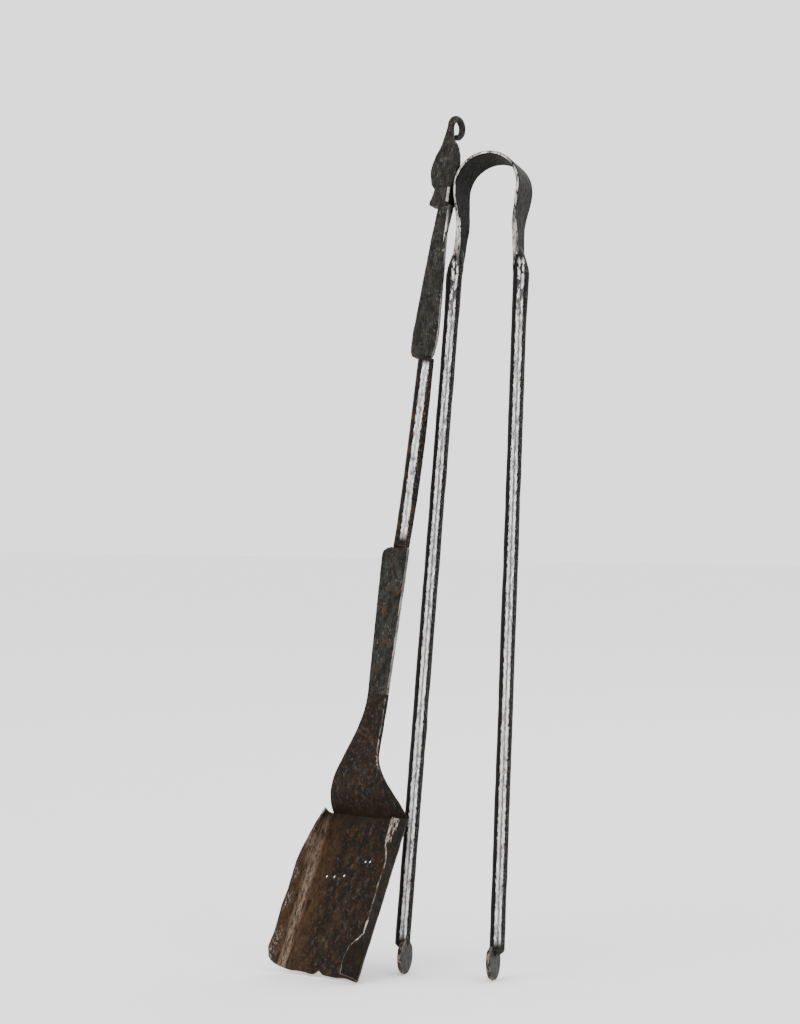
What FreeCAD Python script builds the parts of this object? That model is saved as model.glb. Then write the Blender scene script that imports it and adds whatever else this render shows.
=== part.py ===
"""Hand-forged fireplace tools: a fire shovel and a pair of spring tongs, leaning back.

Each tool is drawn upright in a frame of its own (X across, Y towards the wall behind, Z up the
handle) and is then leaned back as a whole. Lengths are millimetres and angles are degrees.
"""
import FreeCAD
import Part
import math
import os
import Sketcher

SIZES = {
    # how the tongs stand
    "tongs_lean": 10.9, "foot_sway": 5.0,
    # the spring bow of the tongs
    "tongs_length": 692.0, "bow_radius": 29.7, "strip_thickness": 3.0, "strip_width": 37.0,
    "waist_drop": 68.0, "waist_half_width": 26.4, "neck_drop": 86.0, "neck_thickness": 5.0,
    "neck_width": 13.4, "neck_half_width": 26.4, "flex_drop": 43.0, "flex_gap": 0.4,
    # the legs of the tongs and the pads they grip with
    "bar_diameter": 12.7, "leg_bottom": 22.5, "leg_bottom_spread": 82.4, "leg_top_spread": 58.4,
    "head_diameter": 14.3, "head_length": 16.0, "head_taper": 55.0, "head_shift": 0.5,
    "shoulder_round": 2.5, "pad_diameter": 28.0, "pad_thickness": 3.2, "pad_inset": 3.0,
    "heel_height": 10.0,
    # how the shovel stands, measured from the middle between the tongs' feet
    "shovel_lean": 11.85, "shovel_roll": 3.36, "shovel_twist": -14.9,
    "shovel_left": 87.2, "shovel_forward": 15.8,
    # the hanging eye and the leaf-shaped finial
    "eye_top": 735.2, "eye_rod": 6.2, "eye_height": 22.0, "eye_depth": 18.5,
    "stem_foot": 701.0, "stem_width": 12.0, "stem_top": 713.0,
    "leaf_middle": 686.9, "leaf_width": 29.0, "leaf_height": 43.4, "leaf_thickness": 6.0,
    "leaf_foot": 668.2,
    # the collar below the leaf
    "collar_foot": 652.6, "collar_left": 8.6, "collar_right": 11.0, "collar_depth": 13.0,
    "collar_top_left": 6.2, "collar_top_right": 9.2, "collar_top_depth": 9.0,
    # the upper blade, where a hand grips the shovel
    "grip_foot": 519.0, "grip_thickness": 5.2, "grip_root_thickness": 10.0,
    "grip_root_left": 0.4, "grip_root_right": 11.6, "grip_root_length": 24.0,
    "grip_neck_left": 4.2, "grip_neck_right": 10.0, "grip_left": 10.8, "grip_right": 14.6,
    "grip_corner": 12.0,
    # the eight-sided rod
    "rod_across_flats": 13.4, "rod_offset": 5.2, "rod_foot": 356.2,
    # the lower blade and the fan that it spreads into
    "blade_thickness": 5.2, "blade_left": 12.8, "blade_right": 12.6, "blade_corner": 5.0,
    "blade_foot": 231.0, "blade_foot_left": 8.9, "blade_foot_right": 10.4,
    "fan_half_width": 38.0, "fan_left_start": 229.0, "fan_right_start": 182.0,
    "fan_bulge": 2.5, "fan_bulge_height": 168.0, "fan_foot": 130.0, "fan_setback": 13.6,
    "fan_thickness": 2.6,
    # the pan
    "pan_length": 141.0, "pan_tilt": 16.1, "pan_skew": 0.4, "pan_width": 80.0, "sheet": 2.0,
    "left_flange": 16.5, "left_splay": 34.0, "left_top_splay": -4.0,
    "right_flange": 18.0, "right_lean": 8.0, "right_curl": 24.0, "fold_radius": 4.0,
}

doc = FreeCAD.newDocument("fireplace_tools")
sheet = doc.addObject("Spreadsheet::Sheet", "Sizes")
for row, (alias, value) in enumerate(SIZES.items(), start=1):
    sheet.set(f"A{row}", alias)
    sheet.set(f"B{row}", str(value))
    sheet.setAlias(f"B{row}", alias)
doc.recompute()

Vector = FreeCAD.Vector
X_AXIS = Vector(1, 0, 0)
Y_AXIS = Vector(0, 1, 0)
Z_AXIS = Vector(0, 0, 1)


def size(alias):
    """Return one value of the size sheet."""
    return float(sheet.get(alias))


# ---------------------------------------------------------------- where the two tools stand

def tool_pose(lean, roll, twist, foot):
    """Return the placement of a tool that is twisted, leaned back and rolled about its foot."""
    turn = (FreeCAD.Rotation(Y_AXIS, roll) * FreeCAD.Rotation(X_AXIS, -lean)
            * FreeCAD.Rotation(Z_AXIS, twist))
    return FreeCAD.Placement(foot, turn)


TONGS_POSE = tool_pose(size("tongs_lean"), 0.0, 0.0, Vector(-size("foot_sway"), 0, 0))
SHOVEL_POSE = tool_pose(size("shovel_lean"), size("shovel_roll"), size("shovel_twist"),
                        Vector(-size("shovel_left"), -size("shovel_forward"), 0))
LEG_RISE = size("tongs_length") - size("neck_drop") - size("leg_bottom")

tools = {"tongs": [], "shovel": []}


def add_node(item, pose, local=FreeCAD.Placement()):
    """Place a sub-part in its tool and remember which tool it belongs to."""
    item.Placement = pose.multiply(local)
    tools["tongs" if pose is TONGS_POSE else "shovel"].append(item)


# ---------------------------------------------------------------- helpers for bodies

def origin_plane(body, role):
    """Return one of a body's own origin planes."""
    return [plane for plane in body.Origin.OriginFeatures if plane.Role == role][0]


def new_sketch(body, name, role, height=None):
    """Add a sketch on an origin plane of the body, raised by an expression if one is given."""
    drawing = body.newObject("Sketcher::SketchObject", name)
    drawing.AttachmentSupport = (origin_plane(body, role), [""])
    drawing.MapMode = "FlatFace"
    if height is not None:
        drawing.setExpression("AttachmentOffset.Base.z", height)
    return drawing


def bind(drawing, kind, places, expression):
    """Add a dimension to a sketch and bind it to an expression of the size sheet."""
    index = drawing.addConstraint(Sketcher.Constraint(kind, *places, 1.0))
    drawing.setExpression(f"Constraints[{index}]", expression)


def polygon_sketch(body, name, role, corners, height=None):
    """Draw a closed polygon whose corners are pairs of expressions."""
    drawing = new_sketch(body, name, role, height)
    count = len(corners)
    for index in range(count):
        turn = 2 * math.pi * index / count
        step = 2 * math.pi / count
        start = Vector(math.cos(turn), math.sin(turn), 0)
        end = Vector(math.cos(turn + step), math.sin(turn + step), 0)
        drawing.addGeometry(Part.LineSegment(start, end), False)
    for index in range(count):
        following = (index + 1) % count
        drawing.addConstraint(Sketcher.Constraint("Coincident", index, 2, following, 1))
    for index, (across, along) in enumerate(corners):
        bind(drawing, "DistanceX", (-1, 1, index, 1), across)
        bind(drawing, "DistanceY", (-1, 1, index, 1), along)
    return drawing


def box_sketch(body, name, height, left, right, depth):
    """Draw a level rectangle from left to right, centred front to back."""
    corners = [(f"-({left})", f"-({depth}) / 2"), (right, f"-({depth}) / 2"),
               (right, f"({depth}) / 2"), (f"-({left})", f"({depth}) / 2")]
    return polygon_sketch(body, name, "XY_Plane", corners, height)


def ellipse_sketch(body, name, role, centre, radii, height=None):
    """Draw an ellipse with its long axis along the sketch's Y axis."""
    drawing = new_sketch(body, name, role, height)
    drawing.addGeometry(Part.Ellipse(Vector(0, 2, 0), Vector(1, 0, 0), Vector(0, 0, 0)), False)
    drawing.exposeInternalGeometry(0)
    bind(drawing, "DistanceX", (-1, 1, 0, 3), centre[0])
    bind(drawing, "DistanceY", (-1, 1, 0, 3), centre[1])
    drawing.addConstraint(Sketcher.Constraint("Vertical", 1))
    bind(drawing, "Distance", (2,), f"2 * ({radii[0]})")
    bind(drawing, "Distance", (1,), f"2 * ({radii[1]})")
    return drawing


def circle_sketch(body, name, role, centre, diameter, height=None):
    """Draw a circle whose centre and diameter are expressions."""
    drawing = new_sketch(body, name, role, height)
    drawing.addGeometry(Part.Circle(Vector(0, 0, 0), Z_AXIS, 1.0), False)
    bind(drawing, "DistanceX", (-1, 1, 0, 3), centre[0])
    bind(drawing, "DistanceY", (-1, 1, 0, 3), centre[1])
    bind(drawing, "Diameter", (0,), diameter)
    return drawing


def pad(body, drawing, name, length, both_ways=True):
    """Pad a sketch by an expression, evenly to both sides of its plane or to one."""
    feature = body.newObject("PartDesign::Pad", name)
    feature.Profile = drawing
    feature.Midplane = both_ways
    feature.setExpression("Length", length)
    return feature


def loft(body, name, drawings, ruled=False):
    """Loft through level sketches of one body."""
    feature = body.newObject("PartDesign::AdditiveLoft", name)
    feature.Profile = drawings[0]
    feature.Sections = drawings[1:]
    feature.Ruled = ruled
    return feature


def round_end(body, name, radius):
    """Round the lowest edge of the body's present tip."""
    tip = body.Tip
    lowest = min(range(len(tip.Shape.Edges)), key=lambda i: tip.Shape.Edges[i].BoundBox.ZMax)
    fillet = body.newObject("PartDesign::Fillet", name)
    fillet.Base = (tip, [f"Edge{lowest + 1}"])
    fillet.setExpression("Radius", radius)
    return fillet


# ---------------------------------------------------------------- helpers for bent strips

def strip_section(centre, normal, thickness, low_edge, high_edge, across):
    """Return the closed outline of a strip, cut square to its run."""
    half = normal * (thickness / 2)
    corners = [centre + across * low_edge - half, centre + across * high_edge - half,
               centre + across * high_edge + half, centre + across * low_edge + half]
    return Part.makePolygon(corners + [corners[0]])


def strip_solid(sections, ruled=False):
    """Loft a bent strip through its sections."""
    return Part.makeLoft(sections, True, ruled)


def add_shape(label, shape, pose, local=FreeCAD.Placement()):
    """Add a sub-part that is made as one shape."""
    item = doc.addObject("Part::Feature", label)
    item.Shape = shape
    add_node(item, pose, local)


def smooth(share):
    """Return a soft step from 0 to 1."""
    share = min(max(share, 0.0), 1.0)
    return share * share * (3 - 2 * share)


# ---------------------------------------------------------------- the tongs: spring bow

def bow_point(drop):
    """Return the half width and the outward slope of the strip's middle, a drop below its top.

    Above the bow's own centre the strip is a half circle; below it, both cheeks draw in to a
    waist and stay there down to the necks.
    """
    radius = size("bow_radius") - size("strip_thickness") / 2
    waist = size("waist_half_width") - size("strip_thickness") / 2
    neck = size("neck_half_width") - size("neck_thickness") / 2
    depth = drop - size("bow_radius")
    reach = size("waist_drop") - size("bow_radius")
    if drop <= size("waist_drop"):
        return radius + (waist - radius) * smooth(depth / reach)
    rest = (drop - size("waist_drop")) / (size("neck_drop") - size("waist_drop"))
    return waist + (neck - waist) * rest


def strip_width(drop):
    """Return the width of the strip, which narrows from the bow to the necks."""
    start = size("bow_radius")
    share = (drop - start) / (size("neck_drop") - start)
    return size("strip_width") + (size("neck_width") - size("strip_width")) * smooth(share)


def strip_thickness(drop):
    """Return the thickness of the strip, which grows towards the necks."""
    share = (drop - size("flex_drop")) / (size("neck_drop") - size("flex_drop"))
    return size("strip_thickness") + (size("neck_thickness") - size("strip_thickness")) \
        * smooth(share)


def cheek_section(side, drop):
    """Return the strip's outline on one side, at a drop below the top of the bow."""
    step = 0.5
    slope = (bow_point(drop + step) - bow_point(drop - step)) / (2 * step)
    normal = Vector(side, 0, slope).normalize()
    centre = Vector(side * bow_point(drop), 0, size("tongs_length") - drop)
    half = strip_width(drop) / 2
    return strip_section(centre, normal, strip_thickness(drop), -half, half, Y_AXIS)


def make_bow_crown():
    """Make the round top of the spring, down to where both sides flex."""
    radius = size("bow_radius") - size("strip_thickness") / 2
    height = size("tongs_length") - size("bow_radius")
    half = size("strip_width") / 2
    last = size("flex_drop") - size("flex_gap") / 2
    middle = (size("bow_radius") + last) / 2
    sections = [cheek_section(-1, last), cheek_section(-1, middle)]
    turns = 8
    for index in range(turns + 1):
        angle = math.pi * (1 - index / turns)
        outward = Vector(math.cos(angle), 0, math.sin(angle))
        centre = Vector(0, 0, height) + outward * radius
        sections.append(strip_section(centre, outward, size("strip_thickness"), -half, half,
                                      Y_AXIS))
    sections += [cheek_section(1, middle), cheek_section(1, last)]
    add_shape("bow_crown", strip_solid(sections), TONGS_POSE)


def make_cheek(name, side):
    """Make one side of the spring, from the flexing place down to the neck of the leg."""
    first = size("flex_drop") + size("flex_gap") / 2
    waist = size("waist_drop")
    neck = size("neck_drop")
    drops = [first, (2 * first + waist) / 3, (first + 2 * waist) / 3, waist, (waist + neck) / 2,
             neck]
    add_shape(name, strip_solid([cheek_section(side, drop) for drop in drops]), TONGS_POSE)


# ---------------------------------------------------------------- the tongs: legs and pads

def leg_run(side):
    """Return the bottom end of a leg's middle line and the vector from it to the top end."""
    foot = Vector(side * size("leg_bottom_spread") / 2 + size("foot_sway"), 0,
                  size("leg_bottom"))
    return foot, Vector(side * size("leg_top_spread") / 2, 0, foot.z + LEG_RISE) - foot


def leg_place(side):
    """Return the place of a leg, whose own Z axis runs up the bar from its bottom end."""
    foot, run = leg_run(side)
    return FreeCAD.Placement(foot, FreeCAD.Rotation(Z_AXIS, run))


def make_leg(name, side):
    """Make the round bar of a leg with the thicker head that is welded to the strip."""
    body = doc.addObject("PartDesign::Body", name)
    half_reach = "(Sizes.leg_bottom_spread - Sizes.leg_top_spread) / 2"
    sway = f"({half_reach} {'+' if side > 0 else '-'} Sizes.foot_sway)"
    drop = "(Sizes.tongs_length - Sizes.neck_drop - Sizes.leg_bottom)"
    rise = f"sqrt({drop} ^ 2 + {sway} ^ 2)"
    bar_top = f"{rise} - Sizes.head_length - Sizes.head_taper"
    round_bar = circle_sketch(body, name + "_bar", "XY_Plane", ("0", "0"), "Sizes.bar_diameter")
    pad(body, round_bar, name + "_bar_pad", bar_top, both_ways=False)
    doc.recompute()
    round_end(body, name + "_shoulder", "Sizes.shoulder_round")
    outward = "" if side > 0 else "-"
    low = circle_sketch(body, name + "_low", "XY_Plane", ("0", "0"), "Sizes.bar_diameter",
                        bar_top)
    head = circle_sketch(body, name + "_head", "XY_Plane",
                         (f"{outward}Sizes.head_shift", "0"), "Sizes.head_diameter",
                         f"{rise} - Sizes.head_length")
    neck_shift = "(Sizes.neck_half_width - Sizes.neck_thickness / 2 - Sizes.leg_top_spread / 2)"
    neck = ellipse_sketch(body, name + "_neck", "XY_Plane", (f"{outward}{neck_shift}", "0"),
                          ("Sizes.neck_thickness / 2", "Sizes.neck_width / 2"), rise)
    loft(body, name + "_lower_taper", [low, head])
    upper_low = circle_sketch(body, name + "_head_again", "XY_Plane",
                              (f"{outward}Sizes.head_shift", "0"), "Sizes.head_diameter",
                              f"{rise} - Sizes.head_length")
    loft(body, name + "_upper_taper", [upper_low, neck])
    add_node(body, TONGS_POSE, leg_place(side))


def make_foot(name, side):
    """Make the round pad of a leg and the heel that joins it to the end of the bar."""
    body = doc.addObject("PartDesign::Body", name)
    inward = "-" if side > 0 else ""
    drop = "(Sizes.leg_bottom - Sizes.pad_diameter / 2)"
    face = circle_sketch(body, name + "_face", "YZ_Plane", ("0", f"-{drop}"),
                         "Sizes.pad_diameter", f"{inward}Sizes.pad_inset")
    pad(body, face, name + "_pad", "Sizes.pad_thickness")
    trim = polygon_sketch(body, name + "_trim", "YZ_Plane",
                          [("-Sizes.pad_diameter", "0"), ("Sizes.pad_diameter", "0"),
                           ("Sizes.pad_diameter", "Sizes.pad_diameter"),
                           ("-Sizes.pad_diameter", "Sizes.pad_diameter")],
                          f"{inward}Sizes.pad_inset")
    cut = body.newObject("PartDesign::Pocket", name + "_flat_top")
    cut.Profile = trim
    cut.Midplane = True
    cut.setExpression("Length", "Sizes.pad_thickness * 3")
    inner = f"{inward}(Sizes.pad_inset + Sizes.pad_thickness / 2)"
    outer = f"{inward}(Sizes.pad_inset - Sizes.pad_thickness / 2)"
    heel = polygon_sketch(body, name + "_heel", "XZ_Plane",
                          [(inner, "0"), (outer, "-Sizes.heel_height"),
                           (outer, "-Sizes.heel_height / 2"),
                           (f"{inward}(-Sizes.bar_diameter / 4)", "0")])
    pad(body, heel, name + "_heel_pad", "Sizes.bar_diameter * 0.8")
    add_node(body, TONGS_POSE, leg_place(side))


# ---------------------------------------------------------------- the shovel: eye to collar

def make_hanging_eye():
    """Make the stem that rises from the leaf, with the rod that curls back and down from it."""
    half_depth = size("eye_depth") / 2
    half_height = size("eye_height") / 2
    middle = size("eye_top") - size("eye_rod") / 2 - half_height
    slant = math.sqrt(0.5)
    front = Vector(0, 0, middle)
    top = Vector(0, half_depth, middle + half_height)
    back = Vector(0, 2 * half_depth, middle)
    foot = Vector(0, half_depth, middle - half_height)
    upper_front = Vector(0, half_depth * (1 - slant), middle + half_height * slant)
    upper_back = Vector(0, half_depth * (1 + slant), middle + half_height * slant)
    lower_back = Vector(0, half_depth * (1 + slant), middle - half_height * slant)
    start = Vector(0, 0, size("stem_top"))
    runs = [Part.LineSegment(start, front), Part.Arc(front, upper_front, top),
            Part.Arc(top, upper_back, back), Part.Arc(back, lower_back, foot)]
    path = Part.Wire([run.toShape() for run in runs])
    radius = size("eye_rod") / 2
    profile = Part.Wire([Part.Circle(start, Z_AXIS, radius).toShape()])
    ring = path.makePipeShell([profile], True, False)
    stem = Part.makeCone(size("stem_width") / 2, radius, size("stem_top") - size("stem_foot"),
                         Vector(0, 0, size("stem_foot")))
    leaf = Part.Ellipse(Vector(0, 0, 0), size("leaf_height") / 2, size("leaf_width") / 2)
    leaf_face = Part.Face(Part.Wire([leaf.toShape()]))
    leaf_solid = leaf_face.extrude(Vector(0, 0, size("leaf_thickness")))
    leaf_solid.Placement = FreeCAD.Placement(
        Vector(0, size("leaf_thickness") / 2, size("leaf_middle")),
        FreeCAD.Rotation(Z_AXIS, X_AXIS, Y_AXIS * -1, "ZXY"))
    add_shape("hanging_eye", ring.fuse(stem).cut(leaf_solid), SHOVEL_POSE)


def make_leaf_finial():
    """Make the flat leaf, cut level where it stands on the collar."""
    body = doc.addObject("PartDesign::Body", "leaf_finial")
    leaf = ellipse_sketch(body, "leaf_outline", "XZ_Plane", ("0", "Sizes.leaf_middle"),
                          ("Sizes.leaf_width / 2", "Sizes.leaf_height / 2"))
    pad(body, leaf, "leaf_pad", "Sizes.leaf_thickness")
    wide = "Sizes.leaf_width"
    foot = polygon_sketch(body, "leaf_foot_outline", "XZ_Plane",
                          [(f"-{wide}", f"Sizes.leaf_foot - {wide}"),
                           (wide, f"Sizes.leaf_foot - {wide}"), (wide, "Sizes.leaf_foot"),
                           (f"-{wide}", "Sizes.leaf_foot")])
    cut = body.newObject("PartDesign::Pocket", "leaf_foot_cut")
    cut.Profile = foot
    cut.Midplane = True
    cut.setExpression("Length", "Sizes.leaf_thickness * 3")
    add_node(body, SHOVEL_POSE)


def make_neck_collar():
    """Make the block that flares from the leaf down to an overhanging lip."""
    body = doc.addObject("PartDesign::Body", "neck_collar")
    top = box_sketch(body, "collar_top", "Sizes.leaf_foot", "Sizes.collar_top_left",
                     "Sizes.collar_top_right", "Sizes.collar_top_depth")
    foot = box_sketch(body, "collar_foot_outline", "Sizes.collar_foot", "Sizes.collar_left",
                      "Sizes.collar_right", "Sizes.collar_depth")
    loft(body, "collar_loft", [foot, top], ruled=True)
    add_node(body, SHOVEL_POSE)


# ---------------------------------------------------------------- the shovel: blades and rod

def make_grip_blade():
    """Make the flat upper blade, thick at its root and widest near its foot."""
    body = doc.addObject("PartDesign::Body", "grip_blade")
    root = box_sketch(body, "grip_root", "Sizes.collar_foot", "-Sizes.grip_root_left",
                      "Sizes.grip_root_right", "Sizes.grip_root_thickness")
    neck = box_sketch(body, "grip_neck", "Sizes.collar_foot - Sizes.grip_root_length",
                      "Sizes.grip_neck_left", "Sizes.grip_neck_right", "Sizes.grip_thickness")
    neck_again = box_sketch(body, "grip_neck_again",
                            "Sizes.collar_foot - Sizes.grip_root_length",
                            "Sizes.grip_neck_left", "Sizes.grip_neck_right",
                            "Sizes.grip_thickness")
    wide = box_sketch(body, "grip_wide", "Sizes.grip_foot + Sizes.grip_corner * 1.8",
                      "Sizes.grip_left", "Sizes.grip_right", "Sizes.grip_thickness")
    wide_again = box_sketch(body, "grip_wide_again",
                            "Sizes.grip_foot + Sizes.grip_corner * 1.8",
                            "Sizes.grip_left", "Sizes.grip_right", "Sizes.grip_thickness")
    round_off = box_sketch(body, "grip_round_off", "Sizes.grip_foot + Sizes.grip_corner * 0.5",
                           "Sizes.grip_left", "Sizes.grip_right - Sizes.grip_corner * 0.2",
                           "Sizes.grip_thickness")
    foot = box_sketch(body, "grip_foot_outline", "Sizes.grip_foot",
                      "Sizes.grip_left * 0.55", "Sizes.grip_right - Sizes.grip_corner * 0.4",
                      "Sizes.grip_thickness")
    round_again = box_sketch(body, "grip_round_again",
                             "Sizes.grip_foot + Sizes.grip_corner * 0.5",
                             "Sizes.grip_left", "Sizes.grip_right - Sizes.grip_corner * 0.2",
                             "Sizes.grip_thickness")
    loft(body, "grip_root_loft", [root, neck], ruled=True)
    loft(body, "grip_blade_loft", [neck_again, wide], ruled=True)
    loft(body, "grip_round_loft", [wide_again, round_off], ruled=True)
    loft(body, "grip_foot_loft", [round_again, foot], ruled=True)
    add_node(body, SHOVEL_POSE)


def make_shank_rod():
    """Make the eight-sided rod between the two blades."""
    rod = doc.addObject("Part::Prism", "shank_rod")
    rod.Polygon = 8
    rod.setExpression("Circumradius", "Sizes.rod_across_flats / 2 / cos(22.5 deg)")
    rod.setExpression("Height", "Sizes.grip_foot - Sizes.rod_foot")
    turn = FreeCAD.Rotation(Z_AXIS, 22.5)
    add_node(rod, SHOVEL_POSE,
             FreeCAD.Placement(Vector(size("rod_offset"), 0, size("rod_foot")), turn))


def make_lower_blade():
    """Make the flat lower blade, which narrows downwards to the start of the fan."""
    body = doc.addObject("PartDesign::Body", "lower_blade")
    thick = "Sizes.blade_thickness"
    top = box_sketch(body, "blade_top", "Sizes.rod_foot", "Sizes.blade_left * 0.3",
                     "Sizes.blade_right", thick)
    shoulder = "Sizes.rod_foot - Sizes.blade_corner"
    wide = box_sketch(body, "blade_wide", shoulder, "Sizes.blade_left", "Sizes.blade_right",
                      thick)
    wide_again = box_sketch(body, "blade_wide_again", shoulder, "Sizes.blade_left",
                            "Sizes.blade_right", thick)
    foot = box_sketch(body, "blade_foot_outline", "Sizes.blade_foot", "Sizes.blade_foot_left",
                      "Sizes.blade_foot_right", thick)
    loft(body, "blade_shoulder_loft", [top, wide], ruled=True)
    loft(body, "blade_loft", [wide_again, foot], ruled=True)
    add_node(body, SHOVEL_POSE)


# ---------------------------------------------------------------- the shovel: fan and pan

def fan_middle(height):
    """Return how far back the middle of the fan's sheet lies at a height."""
    bulge_height = size("fan_bulge_height")
    if height >= bulge_height:
        rise = (size("blade_foot") - height) / (size("blade_foot") - bulge_height)
        return -size("fan_bulge") * smooth(rise)
    fall = (bulge_height - height) / (bulge_height - size("fan_foot"))
    return -size("fan_bulge") + (size("fan_setback") + size("fan_bulge")) * fall ** 2.2


def fan_edges(height):
    """Return the left and the right edge of the fan at a height."""
    span = size("fan_left_start") - size("fan_foot")
    left = size("blade_foot_left") + (size("fan_half_width") - size("blade_foot_left")) \
        * smooth((size("fan_left_start") - height) / span)
    span = size("fan_right_start") - size("fan_foot")
    right = size("blade_foot_right") + (size("fan_half_width") - size("blade_foot_right")) \
        * smooth((size("fan_right_start") - height) / span)
    return -left, right


def pan_place():
    """Return the place of the pan, whose own frame stands on its floor, Z up and Y backwards."""
    turn = FreeCAD.Rotation(X_AXIS, -size("pan_tilt"))
    crease = Vector(0, size("fan_setback"), size("fan_foot"))
    return FreeCAD.Placement(crease, turn)


def pan_section(along, left_angle, right_angle):
    """Return the outline of the folded sheet, square to the pan's run.

    The angles are those between each flange and the floor's own normal, positive outward.
    """
    half = size("pan_width") / 2
    thick = size("sheet")
    drift = -along * math.tan(math.radians(size("pan_skew")))
    middle = []
    fold = size("fold_radius")
    for side, angle, length in ((-1, left_angle, size("left_flange")),
                                (1, right_angle, size("right_flange"))):
        turn = math.radians(90 - angle)
        bend = []
        steps = 3
        set_in = fold * math.tan(turn / 2)
        for index in range(steps + 1):
            share = turn * index / steps
            bend.append((side * (half - set_in + fold * math.sin(share)),
                         fold * (1 - math.cos(share))))
        reach = length - set_in
        last = bend[-1]
        bend.append((last[0] + side * reach * math.cos(turn), last[1] + reach * math.sin(turn)))
        middle.append(bend)
    path = middle[0][::-1] + middle[1]
    front = []
    back = []
    for index, point in enumerate(path):
        before = path[max(index - 1, 0)]
        after = path[min(index + 1, len(path) - 1)]
        run = Vector(after[0] - before[0], after[1] - before[1], 0).normalize()
        normal = Vector(-run.y, run.x, 0) * (thick / 2)
        spot = Vector(point[0] + drift, point[1] + thick / 2, 0)
        front.append(spot + normal)
        back.append(spot - normal)
    outline = front + back[::-1]
    return Part.makePolygon([Vector(spot.x, -spot.y, -along) for spot in outline + outline[:1]])


def fold_pan():
    """Return the pan: a folded sheet whose left flange splays and right flange curls in."""
    length = size("pan_length")
    sections = [pan_section(0, size("left_top_splay"), -size("right_lean")),
                pan_section(length * 0.3, size("left_splay"), -size("right_lean")),
                pan_section(length * 0.75, size("left_splay"), -size("right_lean")),
                pan_section(length, size("left_splay"), -size("right_curl"))]
    return strip_solid(sections, ruled=True)


def make_fan_throat():
    """Make the sheet that spreads from the lower blade and ends on the pan's top edge."""
    steps = 12
    top = size("blade_foot")
    foot = size("fan_foot")
    sections = []
    for index in range(steps + 1):
        height = top + (foot - top) * index / steps
        slope = fan_middle(height + 0.5) - fan_middle(height - 0.5)
        if index == 0:
            slope = 0.0
        normal = Vector(0, 1, -slope).normalize()
        thickness = size("blade_thickness") + (size("fan_thickness")
                                               - size("blade_thickness")) * index / steps
        left, right = fan_edges(height)
        centre = Vector(0, fan_middle(height), height)
        sections.append(strip_section(centre, normal, thickness, left, right, X_AXIS))
    pan_solid = fold_pan()
    pan_solid.Placement = pan_place()
    add_shape("fan_throat", strip_solid(sections, ruled=True).cut(pan_solid), SHOVEL_POSE)


# ---------------------------------------------------------------- build the set

make_bow_crown()
for prefix, side in (("left", -1), ("right", 1)):
    make_cheek(prefix + "_bow_cheek", side)
    make_leg(prefix + "_leg", side)
    make_foot(prefix + "_foot", side)
make_hanging_eye()
make_leaf_finial()
make_neck_collar()
make_grip_blade()
make_shank_rod()
make_lower_blade()
make_fan_throat()
add_shape("pan", fold_pan(), SHOVEL_POSE, pan_place())
doc.recompute()

for item in doc.Objects:
    if any(state in ("Invalid", "Error") for state in item.State):
        raise RuntimeError(f"{item.Label} did not build")
nodes = tools["tongs"] + tools["shovel"]
for item in nodes:
    if item.Shape.isNull() or not item.Shape.isValid():
        raise RuntimeError(f"{item.Label} has no valid shape")


def extent(items):
    """Return the tight box round some sub-parts."""
    box = FreeCAD.BoundBox()
    for item in items:
        box.add(item.Shape.optimalBoundingBox(True, False))
    return box


def move(items, step):
    """Move some sub-parts together."""
    for item in items:
        item.Placement = FreeCAD.Placement(step, FreeCAD.Rotation()).multiply(item.Placement)


# both tools stand on the floor, and the origin is the middle of the set's box at floor level
for items in tools.values():
    move(items, Vector(0, 0, -extent(items).ZMin))
whole = extent(nodes)
move(nodes, Vector(-whole.Center.x, -whole.Center.y, 0))
print(f"tongs stand at {-whole.Center.x:.2f}, {-whole.Center.y:.2f}")

os.makedirs("parts", exist_ok=True)
for item in nodes:
    item.Shape.exportStep(os.path.join("parts", item.Label + ".step"))
print(len(nodes), "sub-parts written")
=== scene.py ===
"""Looks of a hand-forged fireplace set: a fire shovel and a pair of spring tongs, leaning back.

Each piece is forged on a bench in its tool's own upright frame (X across, Y to the back, Z up the
handle, in millimetres), dressed in a finish, and then leaned back with its tool.
"""

import logging
import math
import random
from dataclasses import astuple, dataclass, field, replace
from enum import Enum
from typing import Callable, Iterable, Optional, Sequence, Union

import bmesh
import bpy
from mathutils import Matrix, Vector


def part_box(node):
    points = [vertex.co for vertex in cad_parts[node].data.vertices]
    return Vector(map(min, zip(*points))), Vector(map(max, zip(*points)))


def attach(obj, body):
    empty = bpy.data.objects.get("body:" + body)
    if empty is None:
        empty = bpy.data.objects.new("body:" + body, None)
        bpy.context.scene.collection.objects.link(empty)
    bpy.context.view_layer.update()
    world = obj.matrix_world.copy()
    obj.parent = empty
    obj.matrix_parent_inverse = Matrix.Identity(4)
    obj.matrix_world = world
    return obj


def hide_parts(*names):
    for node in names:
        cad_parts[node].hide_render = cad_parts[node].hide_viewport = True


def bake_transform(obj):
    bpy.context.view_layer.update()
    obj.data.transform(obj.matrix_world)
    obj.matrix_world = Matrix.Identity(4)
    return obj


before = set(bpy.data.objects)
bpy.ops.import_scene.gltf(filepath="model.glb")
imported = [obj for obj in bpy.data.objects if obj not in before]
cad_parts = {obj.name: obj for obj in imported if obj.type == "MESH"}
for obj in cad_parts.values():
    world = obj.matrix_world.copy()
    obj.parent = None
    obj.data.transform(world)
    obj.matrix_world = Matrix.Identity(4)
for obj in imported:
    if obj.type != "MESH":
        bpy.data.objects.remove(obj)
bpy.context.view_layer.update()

MM = 0.001
PER_METRE = 1000
OCTAGON = 8
TONGS_LENGTH = 692.0
BOW_WIDTH = 37.0
NECK_DROP = 86.0
ROD_MIDDLE = Vector((5.2, 0, 437.6))
LOG = logging.getLogger("fireplace_set")


class Side(Enum):
    """A side of the tongs, as the sign of its X direction."""

    LEFT = -1
    RIGHT = 1


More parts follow.
